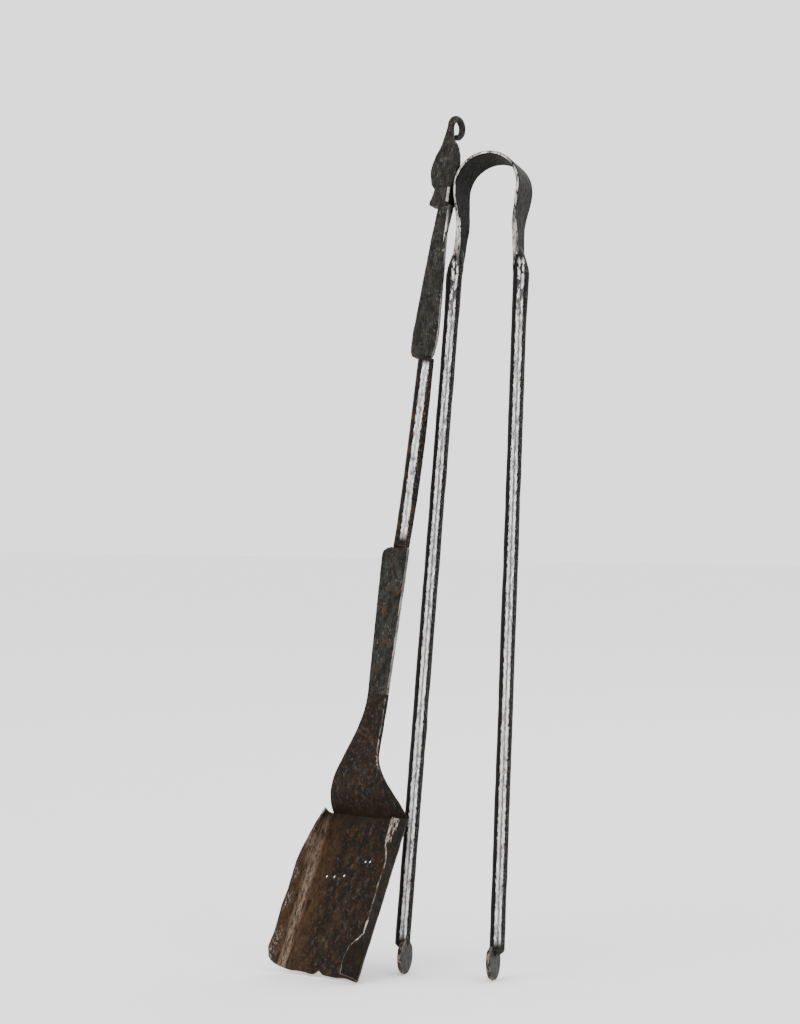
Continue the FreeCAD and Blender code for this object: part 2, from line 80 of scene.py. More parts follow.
def turned(degrees: float, axis: str) -> Matrix:
    """Return a rotation by degrees about one axis."""
    return Matrix.Rotation(math.radians(degrees), 4, axis)


def soft_step(share: float) -> float:
    """Return a soft step from 0 to 1 as share goes from 0 to 1."""
    share = min(max(share, 0.0), 1.0)
    return share * share * (3 - 2 * share)


# ---------------------------------------------------------------- where the tools stand

@dataclass(frozen=True)
class Stance:
    """How a tool leans, rolls and twists about its foot, in degrees."""

    lean: float
    roll: float
    twist: float

    def turn(self) -> Matrix:
        """Return the rotation from the upright tool to the leaning one."""
        return turned(self.roll, "Y") @ turned(-self.lean, "X") @ turned(self.twist, "Z")

    def through(self, upright: Vector, standing: Vector) -> Matrix:
        """Place the tool so that one of its points lands where it stands.

        Args:
            upright: The point in the tool's own frame, in millimetres.
            standing: The same point in the set's frame, in metres.

        Returns:
            The placement of the tool, from metres to metres.
        """
        turn = self.turn()
        return Matrix.Translation(standing - turn @ (upright * MM)) @ turn


def shovel_place() -> Matrix:
    """Return the placement of the shovel, found from the middle of its rod."""
    low, high = (Vector(corner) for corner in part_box("shank_rod"))
    stance = Stance(lean=11.85, roll=3.36, twist=-14.9)
    return stance.through(ROD_MIDDLE, (low + high) / 2)


def tongs_place() -> Matrix:
    """Return the placement of the tongs, found from the top of their bow."""
    low, high = (Vector(corner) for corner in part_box("bow_crown"))
    turn = Stance(lean=10.9, roll=0.0, twist=0.0).turn()
    back_edge, front_edge = (turn @ (Vector((0, side * BOW_WIDTH / 2, TONGS_LENGTH)) * MM)
                             for side in (1, -1))
    middle = (low.x + high.x) / 2
    return Matrix.Translation((middle, high.y - back_edge.y, high.z - front_edge.z)) @ turn


# ---------------------------------------------------------------- finishes

Colour = tuple[float, float, float]
Span = tuple[float, float]
Value = Union["Pattern", float, Colour]


@dataclass(frozen=True)
class Grain:
    """A noise laid along the handle.

    Attributes:
        size: The size of its grains, in millimetres.
        detail: The number of finer layers.
        stretch: How many times longer the grains are along the handle.
        rough: The strength of the finer layers.
        shift: An offset that makes the noise differ from another one.
        low: The level where its spots start to show.
        high: The level where its spots are full.
    """

    size: float
    detail: float = 4.0
    stretch: float = 1.0
    rough: float = 0.55
    shift: float = 0.0
    low: float = 0.0
    high: float = 1.0


class Pattern:
    """A value or colour that varies over a surface. Sums and products of them are patterns too."""

    def __init__(self, recipe: "Recipe", socket: bpy.types.NodeSocket) -> None:
        """Keep the recipe and the socket that gives the value."""
        self.recipe = recipe
        self.socket = socket

    def __add__(self, other: Value) -> "Pattern":
        """Return the sum of two values."""
        return self.recipe.reckon("ADD", self, other)

    def __sub__(self, other: Value) -> "Pattern":
        """Return the difference of two values."""
        return self.recipe.reckon("SUBTRACT", self, other)

    def __rsub__(self, other: float) -> "Pattern":
        """Return a number less this value."""
        return self.recipe.reckon("SUBTRACT", other, self)

    def __mul__(self, other: Value) -> "Pattern":
        """Return the product of two values."""
        return self.recipe.reckon("MULTIPLY", self, other)

    def __abs__(self) -> "Pattern":
        """Return the value without its sign."""
        return self.recipe.reckon("ABSOLUTE", self, 0.0)

    def step(self, low: float, high: float) -> "Pattern":
        """Return a soft step of the value, from 0 at low to 1 at high."""
        ends = (0.0, 1.0) if low < high else (1.0, 0.0)
        return self.recipe.ramp(self, (min(low, high), max(low, high)), ends, "SMOOTHSTEP")

    def level(self, first: float, second: float) -> "Pattern":
        """Return a number from the first to the second, as the value goes from 0 to 1."""
        return self.recipe.ramp(self, (0.0, 1.0), (first, second), "LINEAR")


class Recipe:
    """A node material that is being mixed, with its patterns laid out in a tool's own frame."""

    def __init__(self, name: str, place: Matrix, base: Colour) -> None:
        """Start a material.

        Args:
            name: The material's name.
            place: The placement of the frame in which its patterns lie, in metres.
            base: The colour that lies under all the others.
        """
        self.material = bpy.data.materials.new(name)
        self.material.use_nodes = True
        self.nodes = self.material.node_tree.nodes
        self.colour: Value = base
        back = place.inverted()
        spot = Pattern(self, self.add("TexCoord").outputs["Object"])
        mapping = self.add("Mapping", Vector=spot, Scale=(PER_METRE,) * 3,
                           Rotation=tuple(back.to_euler()),
                           Location=tuple(back.translation * PER_METRE))
        self.where = Pattern(self, mapping.outputs["Vector"])
        parts = self.add("SeparateXYZ", Vector=self.where)
        self.across, self.depth, self.along = (Pattern(self, axis) for axis in parts.outputs)

    def feed(self, socket: bpy.types.NodeSocket, value: Value) -> None:
        """Link a socket to a pattern, or set it to a number, a vector or a colour."""
        if isinstance(value, Pattern):
            self.material.node_tree.links.new(value.socket, socket)
        elif socket.type == "RGBA":
            socket.default_value = (*value, 1.0)
        else:
            socket.default_value = value

    def add(self, kind: str, **inputs: Value) -> bpy.types.Node:
        """Add a node of a kind and feed its inputs by name."""
        node = self.nodes.new("ShaderNode" + kind)
        for name, value in inputs.items():
            self.feed(node.inputs[name], value)
        return node

    def noise(self, grain: Grain) -> Pattern:
        """Return a noise between 0 and 1."""
        pitch = 1 / grain.size
        mapping = self.add("Mapping", Vector=self.where,
                           Scale=(pitch, pitch, pitch / grain.stretch),
                           Location=(grain.shift, grain.shift * 0.7, grain.shift * 1.3))
        noise = self.add("TexNoise", Vector=Pattern(self, mapping.outputs["Vector"]), Scale=1.0,
                         Detail=grain.detail, Roughness=grain.rough)
        return Pattern(self, noise.outputs["Fac"])

    def spots(self, grain: Grain) -> Pattern:
        """Return the spots of a noise, 1 inside them and 0 outside."""
        return self.noise(grain).step(grain.low, grain.high)

    def ramp(self, value: Pattern, source: Span, target: Span, kind: str) -> Pattern:
        """Map a value from one range to another.

        Args:
            value: The value.
            source: The range it is read in.
            target: What it becomes at the two ends of that range.
            kind: The node's name for the kind of ramp.

        Returns:
            The mapped value, which stays inside the target.
        """
        node = self.add("MapRange", **{"Value": value, "From Min": source[0],
                                       "From Max": source[1], "To Min": target[0],
                                       "To Max": target[1]})
        node.interpolation_type = kind
        return Pattern(self, node.outputs["Result"])

    def reckon(self, operation: str, first: Value, second: Value) -> Pattern:
        """Return the result of a Math node."""
        node = self.add("Math")
        node.operation = operation
        self.feed(node.inputs[0], first)
        self.feed(node.inputs[1], second)
        return Pattern(self, node.outputs[0])

    def blend(self, share: Pattern, first: Value, second: Value) -> Pattern:
        """Return a colour from the first to the second, as share goes from 0 to 1."""
        node = self.add("Mix")
        node.data_type = "RGBA"
        for name, value in (("Factor", share), ("A", first), ("B", second)):
            self.feed(node.inputs[name], value)
        return Pattern(self, node.outputs["Result"])

    def coat(self, share: Pattern, colour: Value) -> None:
        """Lay a colour over the ones before it, where share is 1."""
        self.colour = self.blend(share, self.colour, colour)

    def finish(self, height: Pattern, depth: float, roughness: Value, metallic: Value = 0.0,
               sheen: float = 0.06) -> None:
        """Feed the shader.

        Args:
            height: The height pattern of the bumps.
            depth: The depth of the bumps, in millimetres.
            roughness: How rough the surface is.
            metallic: How much of it is bare metal.
            sheen: The strength of the reflection on what isn't metal.
        """
        bump = self.add("Bump", Strength=1.0, Distance=depth * MM, Height=height)
        values = {"Normal": Pattern(self, bump.outputs["Normal"]), "Specular IOR Level": sheen,
                  "Base Color": self.colour, "Roughness": roughness, "Metallic": metallic}
        for name, value in values.items():
            self.feed(self.nodes["Principled BSDF"].inputs[name], value)


class Finish:
    """What every finish can do. Its base is the colour that lies under the others."""

    def mix(self, name: str, place: Matrix) -> bpy.types.Material:
        """Mix the finish.

        Args:
            name: The material's name.
            place: The placement of the frame in which its patterns lie, in metres.

        Returns:
            The material.
        """
        recipe = Recipe(name, place, self.base)
        self.lay(recipe)
        return recipe.material

    def lay(self, recipe: Recipe) -> None:
        """Lay the coats and feed the shader."""
        raise NotImplementedError


@dataclass(frozen=True)
class ForgeScale(Finish):
    """Dark scale that forging leaves, mottled, with pale flecks and some rust."""

    base: Colour = (0.0075, 0.0075, 0.0065)
    mid: Colour = (0.0215, 0.021, 0.018)
    fleck: Colour = (0.085, 0.089, 0.078)
    rust: Colour = (0.06, 0.026, 0.01)
    flecks: float = 0.8
    rusting: float = 0.22
    gloss: float = 0.5
    sheen: float = 0.06
    mottling: Grain = Grain(4.0, 6.0, 1.8, low=0.38, high=0.64)
    specks: Grain = Grain(1.15, 4.0, 2.4, 0.6, 3.0, 0.53, 0.68)
    speckled: Grain = Grain(11.0, 2.0, 1.5, 0.5, 9.0, 0.35, 0.6)
    stains: Grain = Grain(8.0, 6.0, 1.5, 0.7, 6.0, 0.5, 0.7)
    smears: Grain = Grain(3.0, 4.0, 1.0, 0.6, 2.0)
    pitting: Grain = Grain(1.2, 4.0, 1.2, 0.6, 1.0)

    def lay(self, recipe: Recipe) -> None:
        """Lay the mottling, the flecks and the rust."""
        mottle = recipe.spots(self.mottling)
        recipe.coat(mottle, self.mid)
        specks = recipe.spots(self.specks) * recipe.spots(self.speckled)
        recipe.coat(specks * self.flecks, self.fleck)
        recipe.coat(recipe.spots(self.stains) * self.rusting, self.rust)
        rough = recipe.noise(self.smears).level(self.gloss - 0.12, self.gloss + 0.2)
        recipe.finish(recipe.noise(self.pitting) + mottle * 0.8, 0.35, rough, sheen=self.sheen)


@dataclass(frozen=True)
class BareArris(Finish):
    """Steel worn bright along an edge, broken by dark nicks."""

    base: Colour = (0.50, 0.48, 0.45)
    dull: Colour = (0.09, 0.08, 0.07)
    dark: Colour = (0.012, 0.010, 0.009)
    cover: float = 0.5
    blur: float = 0.06
    nicks: Grain = Grain(1.6, 5.0, 4.0, 0.7, 4.0)
    tones: Grain = Grain(14.0, 3.0, 2.0, 0.5, 7.0, 0.38, 0.62)
    pitting: Grain = Grain(1.5, 4.0, 2.0, 0.6, 1.0)

    def lay(self, recipe: Recipe) -> None:
        """Lay the dull stretches and the nicks."""
        nicks = recipe.noise(self.nicks).step(self.cover - self.blur, self.cover + self.blur)
        recipe.coat(recipe.spots(self.tones), self.dull)
        recipe.coat(nicks, self.dark)
        recipe.finish(recipe.noise(self.pitting), 0.25, nicks.level(0.3, 0.5), 0.75)


@dataclass(frozen=True)
class BurnishAndHighlightBar(Finish):
    """A bar with two bright lines along its front and back, partly steel rubbed bright and partly
    a painted highlight turned to face the camera, and dark down both its sides.

    The patterns lie in the bar's own frame, whose Z axis is the bar's middle line. Places across
    the bar are shares of its radius, seen from the camera's side, which the facing angle gives.
    """

    radius: float
    # facing is the camera's bearing in degrees, so the bright band is a painted highlight turned
    # towards the camera.
    facing: float = 21.0
    left: float = -0.46
    right: float = 0.4
    groove: float = 0.12
    grooving: float = 0.9
    raggedness: float = 0.75
    foot: float = -1000.0
    foot_fade: float = 11.0
    head: float = 10000.0
    scarred: Span = (90.0, 20.0)
    crest: float = 10000.0
    crest_fade: float = 7.0
    base: Colour = (0.006, 0.0052, 0.005)
    bright: Colour = (0.80, 0.785, 0.775)
    satin: Colour = (0.30, 0.285, 0.29)
    purple: Colour = (0.085, 0.074, 0.085)
    fleck: Colour = (0.12, 0.12, 0.105)
    rust: Colour = (0.09, 0.036, 0.012)
    rusting: float = 0.0
    scratches: Grain = Grain(0.8, 5.0, 4.0, 0.75, 2.0)
    pits: Grain = Grain(1.5, 6.0, 4.0, 0.75, 5.0, 0.5, 0.56)
    pitted: Grain = Grain(8.0, 3.0, 4.0, 0.5, 8.0, 0.42, 0.62)
    scars: Grain = Grain(4.0, 5.0, 2.6, 0.65, 14.0, 0.5, 0.54)
    flecks: Grain = Grain(0.9, 4.0, 2.5, 0.65, 1.0, 0.53, 0.66)
    stains: Grain = Grain(5.0, 6.0, 2.0, 0.7, 6.0, 0.5, 0.62)
    tones: Grain = Grain(2.2, 5.0, 6.0, 0.7, 17.0, 0.42, 0.66)

    def lay(self, recipe: Recipe) -> None:
        """Lay the dark sides, then the bright band (worn steel with a painted highlight facing the
        camera) with its groove, pits and scars.
        """
        angle = math.radians(self.facing)
        aside = (recipe.across * (math.cos(angle) / self.radius)
                 + recipe.depth * (math.sin(angle) / self.radius))
        scratches = recipe.noise(self.scratches)
        edge = aside + (scratches - 0.5) * self.raggedness
        band = (edge.step(self.left - 0.04, self.left + 0.08)
                * edge.step(self.right + 0.04, self.right - 0.08)
                * recipe.along.step(self.foot, self.foot + self.foot_fade)
                * recipe.along.step(self.crest, self.crest - self.crest_fade))
        groove = abs(edge + 0.02).step(self.groove + 0.06, self.groove - 0.08) * self.grooving
        pits = recipe.spots(self.pits) * recipe.spots(self.pitted).level(0.3, 0.9)
        near_head = recipe.along.step(*(self.head - reach for reach in self.scarred))
        scars = recipe.spots(self.scars) * near_head
        shine = band * (1.0 - groove) * (1.0 - pits) * (1.0 - scars)
        recipe.coat(recipe.spots(self.flecks) * edge.step(0.0, 0.3) * 0.8, self.fleck)
        recipe.coat(recipe.spots(self.stains) * self.rusting, self.rust)
        recipe.coat(band * 0.7, self.purple)
        recipe.coat(scars * 0.8, self.base)
        # Painted highlight: the bright band faces the camera, laid over the worn bright steel.
        recipe.coat(shine, recipe.blend(recipe.spots(self.tones), self.bright, self.satin))
        recipe.finish(scratches * 0.6 - (pits * 0.6 + scars), 0.3, shine.level(0.5, 0.3),
                      shine.level(0.0, 0.7))


@dataclass(frozen=True)
class RustyPlate(Finish):
    """Thin plate, scaled dark and rusted brown, with a painted pale highlight along its left fold.

    The patterns lie in the pan's own frame, whose X axis runs across its floor. Spans are
    distances in millimetres, where a pattern is nothing and where it is full.
    """

    base: Colour = (0.0055, 0.0046, 0.0036)
    brown: Colour = (0.022, 0.0125, 0.006)
    rust: Colour = (0.085, 0.03, 0.0095)
    slate: Colour = (0.048, 0.052, 0.050)
    # The colour of the painted highlight along the bend of the left fold.
    fold_highlight: Colour = (0.165, 0.118, 0.084)
    pale: Colour = (0.24, 0.22, 0.195)
    ochre: Colour = (0.060, 0.031, 0.013)
    # Painted shade laid towards the crease.
    shade: Colour = (0.012, 0.0075, 0.004)
    fold: float = 500.0
    wall: float = 500.0
    crease: float = -500.0
    crease_reach: float = 16.0
    ochre_span: Span = (28.0, 4.0)
    fold_highlight_span: Span = (5.0, 0.5)
    speckled_span: Span = (-3.5, -8.0)
    wall_rise: Span = (-2.5, -5.5)
    wall_reach: Span = (20.0, 12.0)
    corner_inset: float = 1.2
    corner_span: Span = (2.6, 1.0)
    corner_rise: Span = (-6.0, -3.2)
    patches: Grain = Grain(7.0, 8.0, 1.5, 0.68, 0.0, 0.42, 0.62)
    slates: Grain = Grain(3.4, 6.0, 1.5, 0.7, 4.0, 0.55, 0.68)
    spots: Grain = Grain(2.3, 7.0, 1.4, 0.75, 7.0, 0.545, 0.64)
    streaks: Grain = Grain(2.4, 6.0, 5.0, 0.65, 11.0)
    fine: Grain = Grain(0.9, 5.0, 4.0, 0.7, 12.0)
    clumps: Grain = Grain(14.0, 2.0, 1.0, 0.5, 9.0, 0.3, 0.55)
    pitting: Grain = Grain(1.1, 5.0, 1.4, 0.7, 1.0)
    smears: Grain = Grain(4.0, 4.0, 1.0, 0.6, 2.0)

    def lay(self, recipe: Recipe) -> None:
        """Lay the rust, the slate patches, the painted highlight on the left fold and the painted
        shade at the crease.
        """
        patches = recipe.spots(self.patches)
        streaks = recipe.noise(self.streaks)
        fine = recipe.noise(self.fine)
        beside = recipe.across + self.fold
        recipe.coat(patches, self.brown)
        recipe.coat(recipe.spots(self.slates) * 0.7, self.slate)
        recipe.coat(recipe.spots(self.spots) * 0.8, self.rust)
        recipe.coat(beside.step(*self.ochre_span) * streaks.step(0.3, 0.66) * 0.8, self.ochre)
        # Painted highlight: a pale streak along the bend of the left fold.
        recipe.coat(abs(beside).step(*self.fold_highlight_span) * (streaks + fine).step(0.8, 1.16),
                    self.fold_highlight)
        recipe.coat(beside.step(*self.speckled_span) * fine.step(0.5, 0.62)
                    * recipe.spots(self.clumps), self.pale)
        on_wall = recipe.across.step(*(self.wall - reach for reach in self.wall_reach))
        recipe.coat(recipe.depth.step(*self.wall_rise) * on_wall * 0.6, self.base)
        corner = (abs(recipe.across - (self.wall - self.corner_inset)).step(*self.corner_span)
                  * (streaks + fine).step(0.84, 1.1) * recipe.depth.step(*self.corner_rise))
        recipe.coat(corner * 0.7, self.pale)
        # Painted shade: darker towards the crease, where the fan turns back into the pan.
        crease = recipe.along.step(self.crease + self.crease_reach, self.crease)
        recipe.coat(crease * 0.75, self.shade)
        recipe.finish(recipe.noise(self.pitting) + patches * 0.7, 0.4,
                      recipe.noise(self.smears).level(0.45, 0.75), sheen=0.08)


# ---------------------------------------------------------------- the bench

@dataclass(frozen=True)
class Station:
    """A level cross-section of a forged bar, in millimetres."""

    along: float
    left: float
    right: float
    thick: float
    back: float = 0.0

    @property
    def middle(self) -> Vector:
        """Return the middle of the section, in metres."""
        return Vector(((self.right - self.left) / 2, self.back, self.along)) * MM

    @property
    def width(self) -> float:
        """Return the width of the section."""
        return self.left + self.right

    def towards(self, goal: "Station", steps: int) -> list["Station"]:
        """Return the sections that lead evenly from this one, left out, to another.

        Args:
            goal: The section to reach, which is the last of them.
            steps: The number of sections.
        """
        return [Station(*(start + (end - start) * index / steps for start, end in
                          zip(astuple(self), astuple(goal)))) for index in range(1, steps + 1)]


def raised(stations: Iterable[Station], height: float) -> list[Station]:
    """Return the sections moved up by a height."""
    return [replace(station, along=station.along + height) for station in stations]


def set_across(along: float, half: float, across: float, thick: float,
               back: float = 0.0) -> Station:
    """Return a section by its half width and the place of its middle.

    Args:
        along: Its height up the bar.
        half: Half its width.
        across: How far its middle lies to the right.
        thick: Its thickness.
        back: How far its middle lies to the back.
    """
    return Station(along, half - across, half + across, thick, back)


def round_station(along: float, radius: float, across: float = 0.0,
                  back: float = 0.0) -> Station:
    """Return a section that is as wide as it is thick, as set_across does."""
    return set_across(along, radius, across, 2 * radius, back)


@dataclass(frozen=True)
class Job:
    """One piece to be forged.

    Attributes:
        name: The piece's name.
        nodes: The nodes that it stands for.
        body: The body it rides on, or nothing.
        slot: The slot of its finish. It is not used.
        bevel: How far its corners are rounded before its faces are divided, in millimetres.
        levels: How many times each of its faces is divided.
        depth: The depth of its hammer marks, in millimetres.
        mark: The size of a hammer mark, in millimetres.
        smooth: The angle up to which its faces are smoothed together, in degrees.
    """

    name: str
    nodes: tuple[str, ...]
    body: str = "shovel"
    slot: str = "forged_iron"
    bevel: float = 0.0
    levels: int = 2
    depth: float = 0.5
    mark: float = 9.0
    smooth: float = 32.0


class Bench:
    """A bench that holds the one piece that is being forged."""

    def __init__(self, job: Job) -> None:
        """Clear the bench for a new piece."""
        bpy.ops.object.select_all(action="DESELECT")
        self.job = job
        self.piece: Optional[bpy.types.Object] = None

    @staticmethod
    def enter(mode: str) -> None:
        """Enter object or edit mode, unless the bench is already in it."""
        if not bpy.context.mode.startswith(mode):
            bpy.ops.object.mode_set(mode=mode)

    def hold(self) -> None:
        """Take the primitive that was just added into edit mode, with its place in its mesh."""
        self.piece = bpy.context.active_object
        self.piece.name = self.job.name
        self.piece.data.name = self.job.name
        bpy.ops.object.transform_apply(location=True, rotation=True, scale=True)
        bpy.ops.object.mode_set(mode="EDIT")
        bpy.ops.mesh.select_mode(type="VERT")

    def pick(self, test: Callable[[Vector], bool]) -> None:
        """Select the points of the piece that pass a test of their place."""
        bpy.ops.mesh.select_all(action="DESELECT")
        shape = bmesh.from_edit_mesh(self.piece.data)
        for point in shape.verts:
            if test(point.co):
                point.select_set(True)
        shape.select_flush(True)
        bmesh.update_edit_mesh(self.piece.data)

    def pick_numbers(self, numbers: Iterable[int]) -> None:
        """Select the points of the piece that have these numbers."""
        bpy.ops.mesh.select_all(action="DESELECT")
        shape = bmesh.from_edit_mesh(self.piece.data)
        shape.verts.ensure_lookup_table()
        for number in numbers:
            shape.verts[number].select_set(True)
        shape.select_flush(True)
        bmesh.update_edit_mesh(self.piece.data)

    def place_of(self, number: int) -> Vector:
        """Return the place of one point."""
        shape = bmesh.from_edit_mesh(self.piece.data)
        shape.verts.ensure_lookup_table()
        return shape.verts[number].co.copy()

    def selected_middle(self) -> Vector:
        """Return the middle of the selected points."""
        shape = bmesh.from_edit_mesh(self.piece.data)
        places = [point.co for point in shape.verts if point.select]
        return sum(places, Vector()) / len(places)

    @staticmethod
    def turn(degrees: float, axis: str, centre: Vector) -> None:
        """Turn what is selected by the right-hand rule about an axis through a point."""
        bpy.ops.transform.rotate(value=-math.radians(degrees), orient_axis=axis,
                                 center_override=tuple(centre))

    def start_block(self, first: Station, second: Station, arris: float,
                    segments: int = 1) -> None:
        """Start a bar of rectangular section with its four long edges cut back.

        Args:
            first: The section at its start.
            second: The section at the end of the first stretch.
            arris: How far the long edges are cut back, in millimetres.
            segments: The number of faces on each cut edge.
        """
        height = second.along - first.along
        centre = first.middle + Vector((0, 0, height * MM / 2))
        bpy.ops.mesh.primitive_cube_add(size=1, location=centre)
        self.hold()
        bpy.ops.transform.resize(value=(first.width * MM, first.thick * MM, abs(height) * MM),
                                 center_override=tuple(centre))
        bpy.ops.mesh.select_mode(type="EDGE")
        bpy.ops.mesh.select_all(action="DESELECT")
        shape = bmesh.from_edit_mesh(self.piece.data)
        for edge in shape.edges:
            run = edge.verts[0].co - edge.verts[1].co
            edge.select_set(abs(run.z) > 0.9 * run.length)
        bmesh.update_edit_mesh(self.piece.data)
        bpy.ops.mesh.bevel(offset=arris * MM, segments=segments, affect="EDGES")
        bpy.ops.mesh.select_mode(type="VERT")
        self.fit_end(first, second)

    def start_round(self, first: Station, second: Station, sides: int) -> None:
        """Start a bar of round or many-sided section.

        Args:
            first: The section at its start.
            second: The section at the end of the first stretch.
            sides: The number of its sides. A bar of 8 sides has a flat at its front, and its
                sections give its width across flats.
        """
        height = second.along - first.along
        centre = first.middle + Vector((0, 0, height * MM / 2))
        bpy.ops.mesh.primitive_cylinder_add(vertices=sides, radius=0.5, depth=abs(height) * MM,
                                            location=centre)
        self.hold()
        bpy.ops.mesh.select_all(action="SELECT")
        scale = 1.0
        if sides == OCTAGON:
            self.turn(180 / OCTAGON, "Z", centre)
            scale = 1 / math.cos(math.pi / OCTAGON)
        bpy.ops.transform.resize(value=(first.width * MM * scale, first.thick * MM * scale, 1),
                                 center_override=tuple(centre))
        self.fit_end(first, second)

    def fit_end(self, first: Station, second: Station) -> None:
        """Fit the far end of the first stretch to its section."""
        goal = second.along * MM
        self.pick(lambda place: abs(place.z - goal) < 1e-5)
        self.fit(first, second)

    def fit(self, before: Station, after: Station) -> None:
        """Resize and shift the selected end from the section before it to its own."""
        centre = before.middle
        centre.z = after.along * MM
        bpy.ops.transform.resize(
            value=(after.width / before.width, after.thick / before.thick, 1),
            center_override=tuple(centre))
        shift = after.middle - centre
        bpy.ops.transform.translate(value=tuple(shift))

    def draw_out(self, stations: Sequence[Station]) -> None:
        """Draw the selected end of the bar out through the sections that follow the first."""
        for before, after in zip(stations, stations[1:]):
            rise = (after.along - before.along) * MM
            bpy.ops.mesh.extrude_region_move(TRANSFORM_OT_translate={"value": (0, 0, rise)})
            self.fit(before, after)

    def forge(self, stations: Sequence[Station], arris: float, segments: int = 1) -> None:
        """Forge a whole bar of rectangular section.

        Args:
            stations: Its sections, from one end to the other.
            arris: How far its long edges are cut back, in millimetres.
            segments: The number of faces on each cut edge.
        """
        self.start_block(stations[0], stations[1], arris, segments)
        self.draw_out(stations[1:])

    def forge_round(self, stations: Sequence[Station], sides: int) -> None:
        """Forge a whole round or many-sided bar.

        Args:
            stations: Its sections, from one end to the other.
            sides: The number of its sides.
        """
        self.start_round(stations[0], stations[1], sides)
        self.draw_out(stations[1:])

    def modify(self, kind: str, **settings: object) -> None:
        """Add a modifier to the piece and apply it."""
        self.enter("OBJECT")
        modifier = self.piece.modifiers.new(kind.lower(), kind)
        for key, value in settings.items():
            setattr(modifier, key, value)
        bpy.ops.object.modifier_apply(modifier=modifier.name)

    def face_outwards(self) -> None:
        """Merge what coincides and turn every face outwards."""
        self.enter("EDIT")
        bpy.ops.mesh.select_all(action="SELECT")
        bpy.ops.mesh.remove_doubles(threshold=1e-6)
        bpy.ops.mesh.normals_make_consistent(inside=False)
        bpy.ops.object.mode_set(mode="OBJECT")

    def finish_form(self) -> None:
        """Close the form, divide its faces without rounding it and leave hammer marks."""
        self.face_outwards()
        if self.job.bevel:
            self.modify("BEVEL", width=self.job.bevel * MM, segments=2, limit_method="ANGLE",
                        angle_limit=math.radians(30))
        self.modify("SUBSURF", subdivision_type="SIMPLE", levels=self.job.levels,
                    render_levels=self.job.levels)
        marks = bpy.data.textures.new(self.job.name + "_marks", "CLOUDS")
        marks.noise_scale = self.job.mark * MM
        marks.noise_depth = 1
        self.modify("DISPLACE", texture=marks, strength=self.job.depth * MM, mid_level=0.5,
                    texture_coords="LOCAL")

    def dress(self, materials: Sequence[bpy.types.Material],
              choose: Callable[[Vector, Vector], int] = lambda middle, normal: 0) -> None:
        """Give each face one of the materials.

        Args:
            materials: The materials, the main one first.
            choose: Gives the number of the material for a face's middle and normal.
        """
        self.enter("OBJECT")
        for material in materials:
            self.piece.data.materials.append(material)
        for face in self.piece.data.polygons:
            face.material_index = choose(face.center / MM, face.normal)

    def cool(self, place: Matrix) -> bpy.types.Object:
        """Smooth the piece, stand it in its tool's place, give it its body and hide the nodes it
        stands for.
        """
        self.enter("OBJECT")
        bpy.ops.object.select_all(action="DESELECT")
        self.piece.select_set(True)
        bpy.context.view_layer.objects.active = self.piece
        bpy.ops.object.shade_smooth_by_angle(angle=math.radians(self.job.smooth))
        self.piece.matrix_world = place @ self.piece.matrix_world
        bpy.ops.object.transform_apply(location=True, rotation=True, scale=True)
        if self.job.body:
            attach(self.piece, self.job.body)
        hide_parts(*self.job.nodes)
        LOG.info("%s: %d faces", self.job.name, len(self.piece.data.polygons))
        return self.piece

    def deliver(self, place: Matrix, materials: Sequence[bpy.types.Material],
                choose: Callable[[Vector, Vector], int] = lambda middle, normal: 0
                ) -> bpy.types.Object:
        """Finish the form, dress it and stand it in its tool's place.

        Args:
            place: The placement of its tool.
            materials: The materials, the main one first.
            choose: Gives the number of the material for a face's middle and normal.

        Returns:
            The finished piece.
        """
        self.finish_form()
        self.dress(materials, choose)
        return self.cool(place)


def is_right_arris(middle: Vector, normal: Vector) -> int:
    """Return 1 for a face on the cut edge between the front and the right side."""
    return int(normal.x > 0.3 and normal.y < -0.3)


def is_right_side(middle: Vector, normal: Vector) -> int:
    """Return 1 for a face on the right side."""
    return int(normal.x > 0.75)


# ---------------------------------------------------------------- the shovel

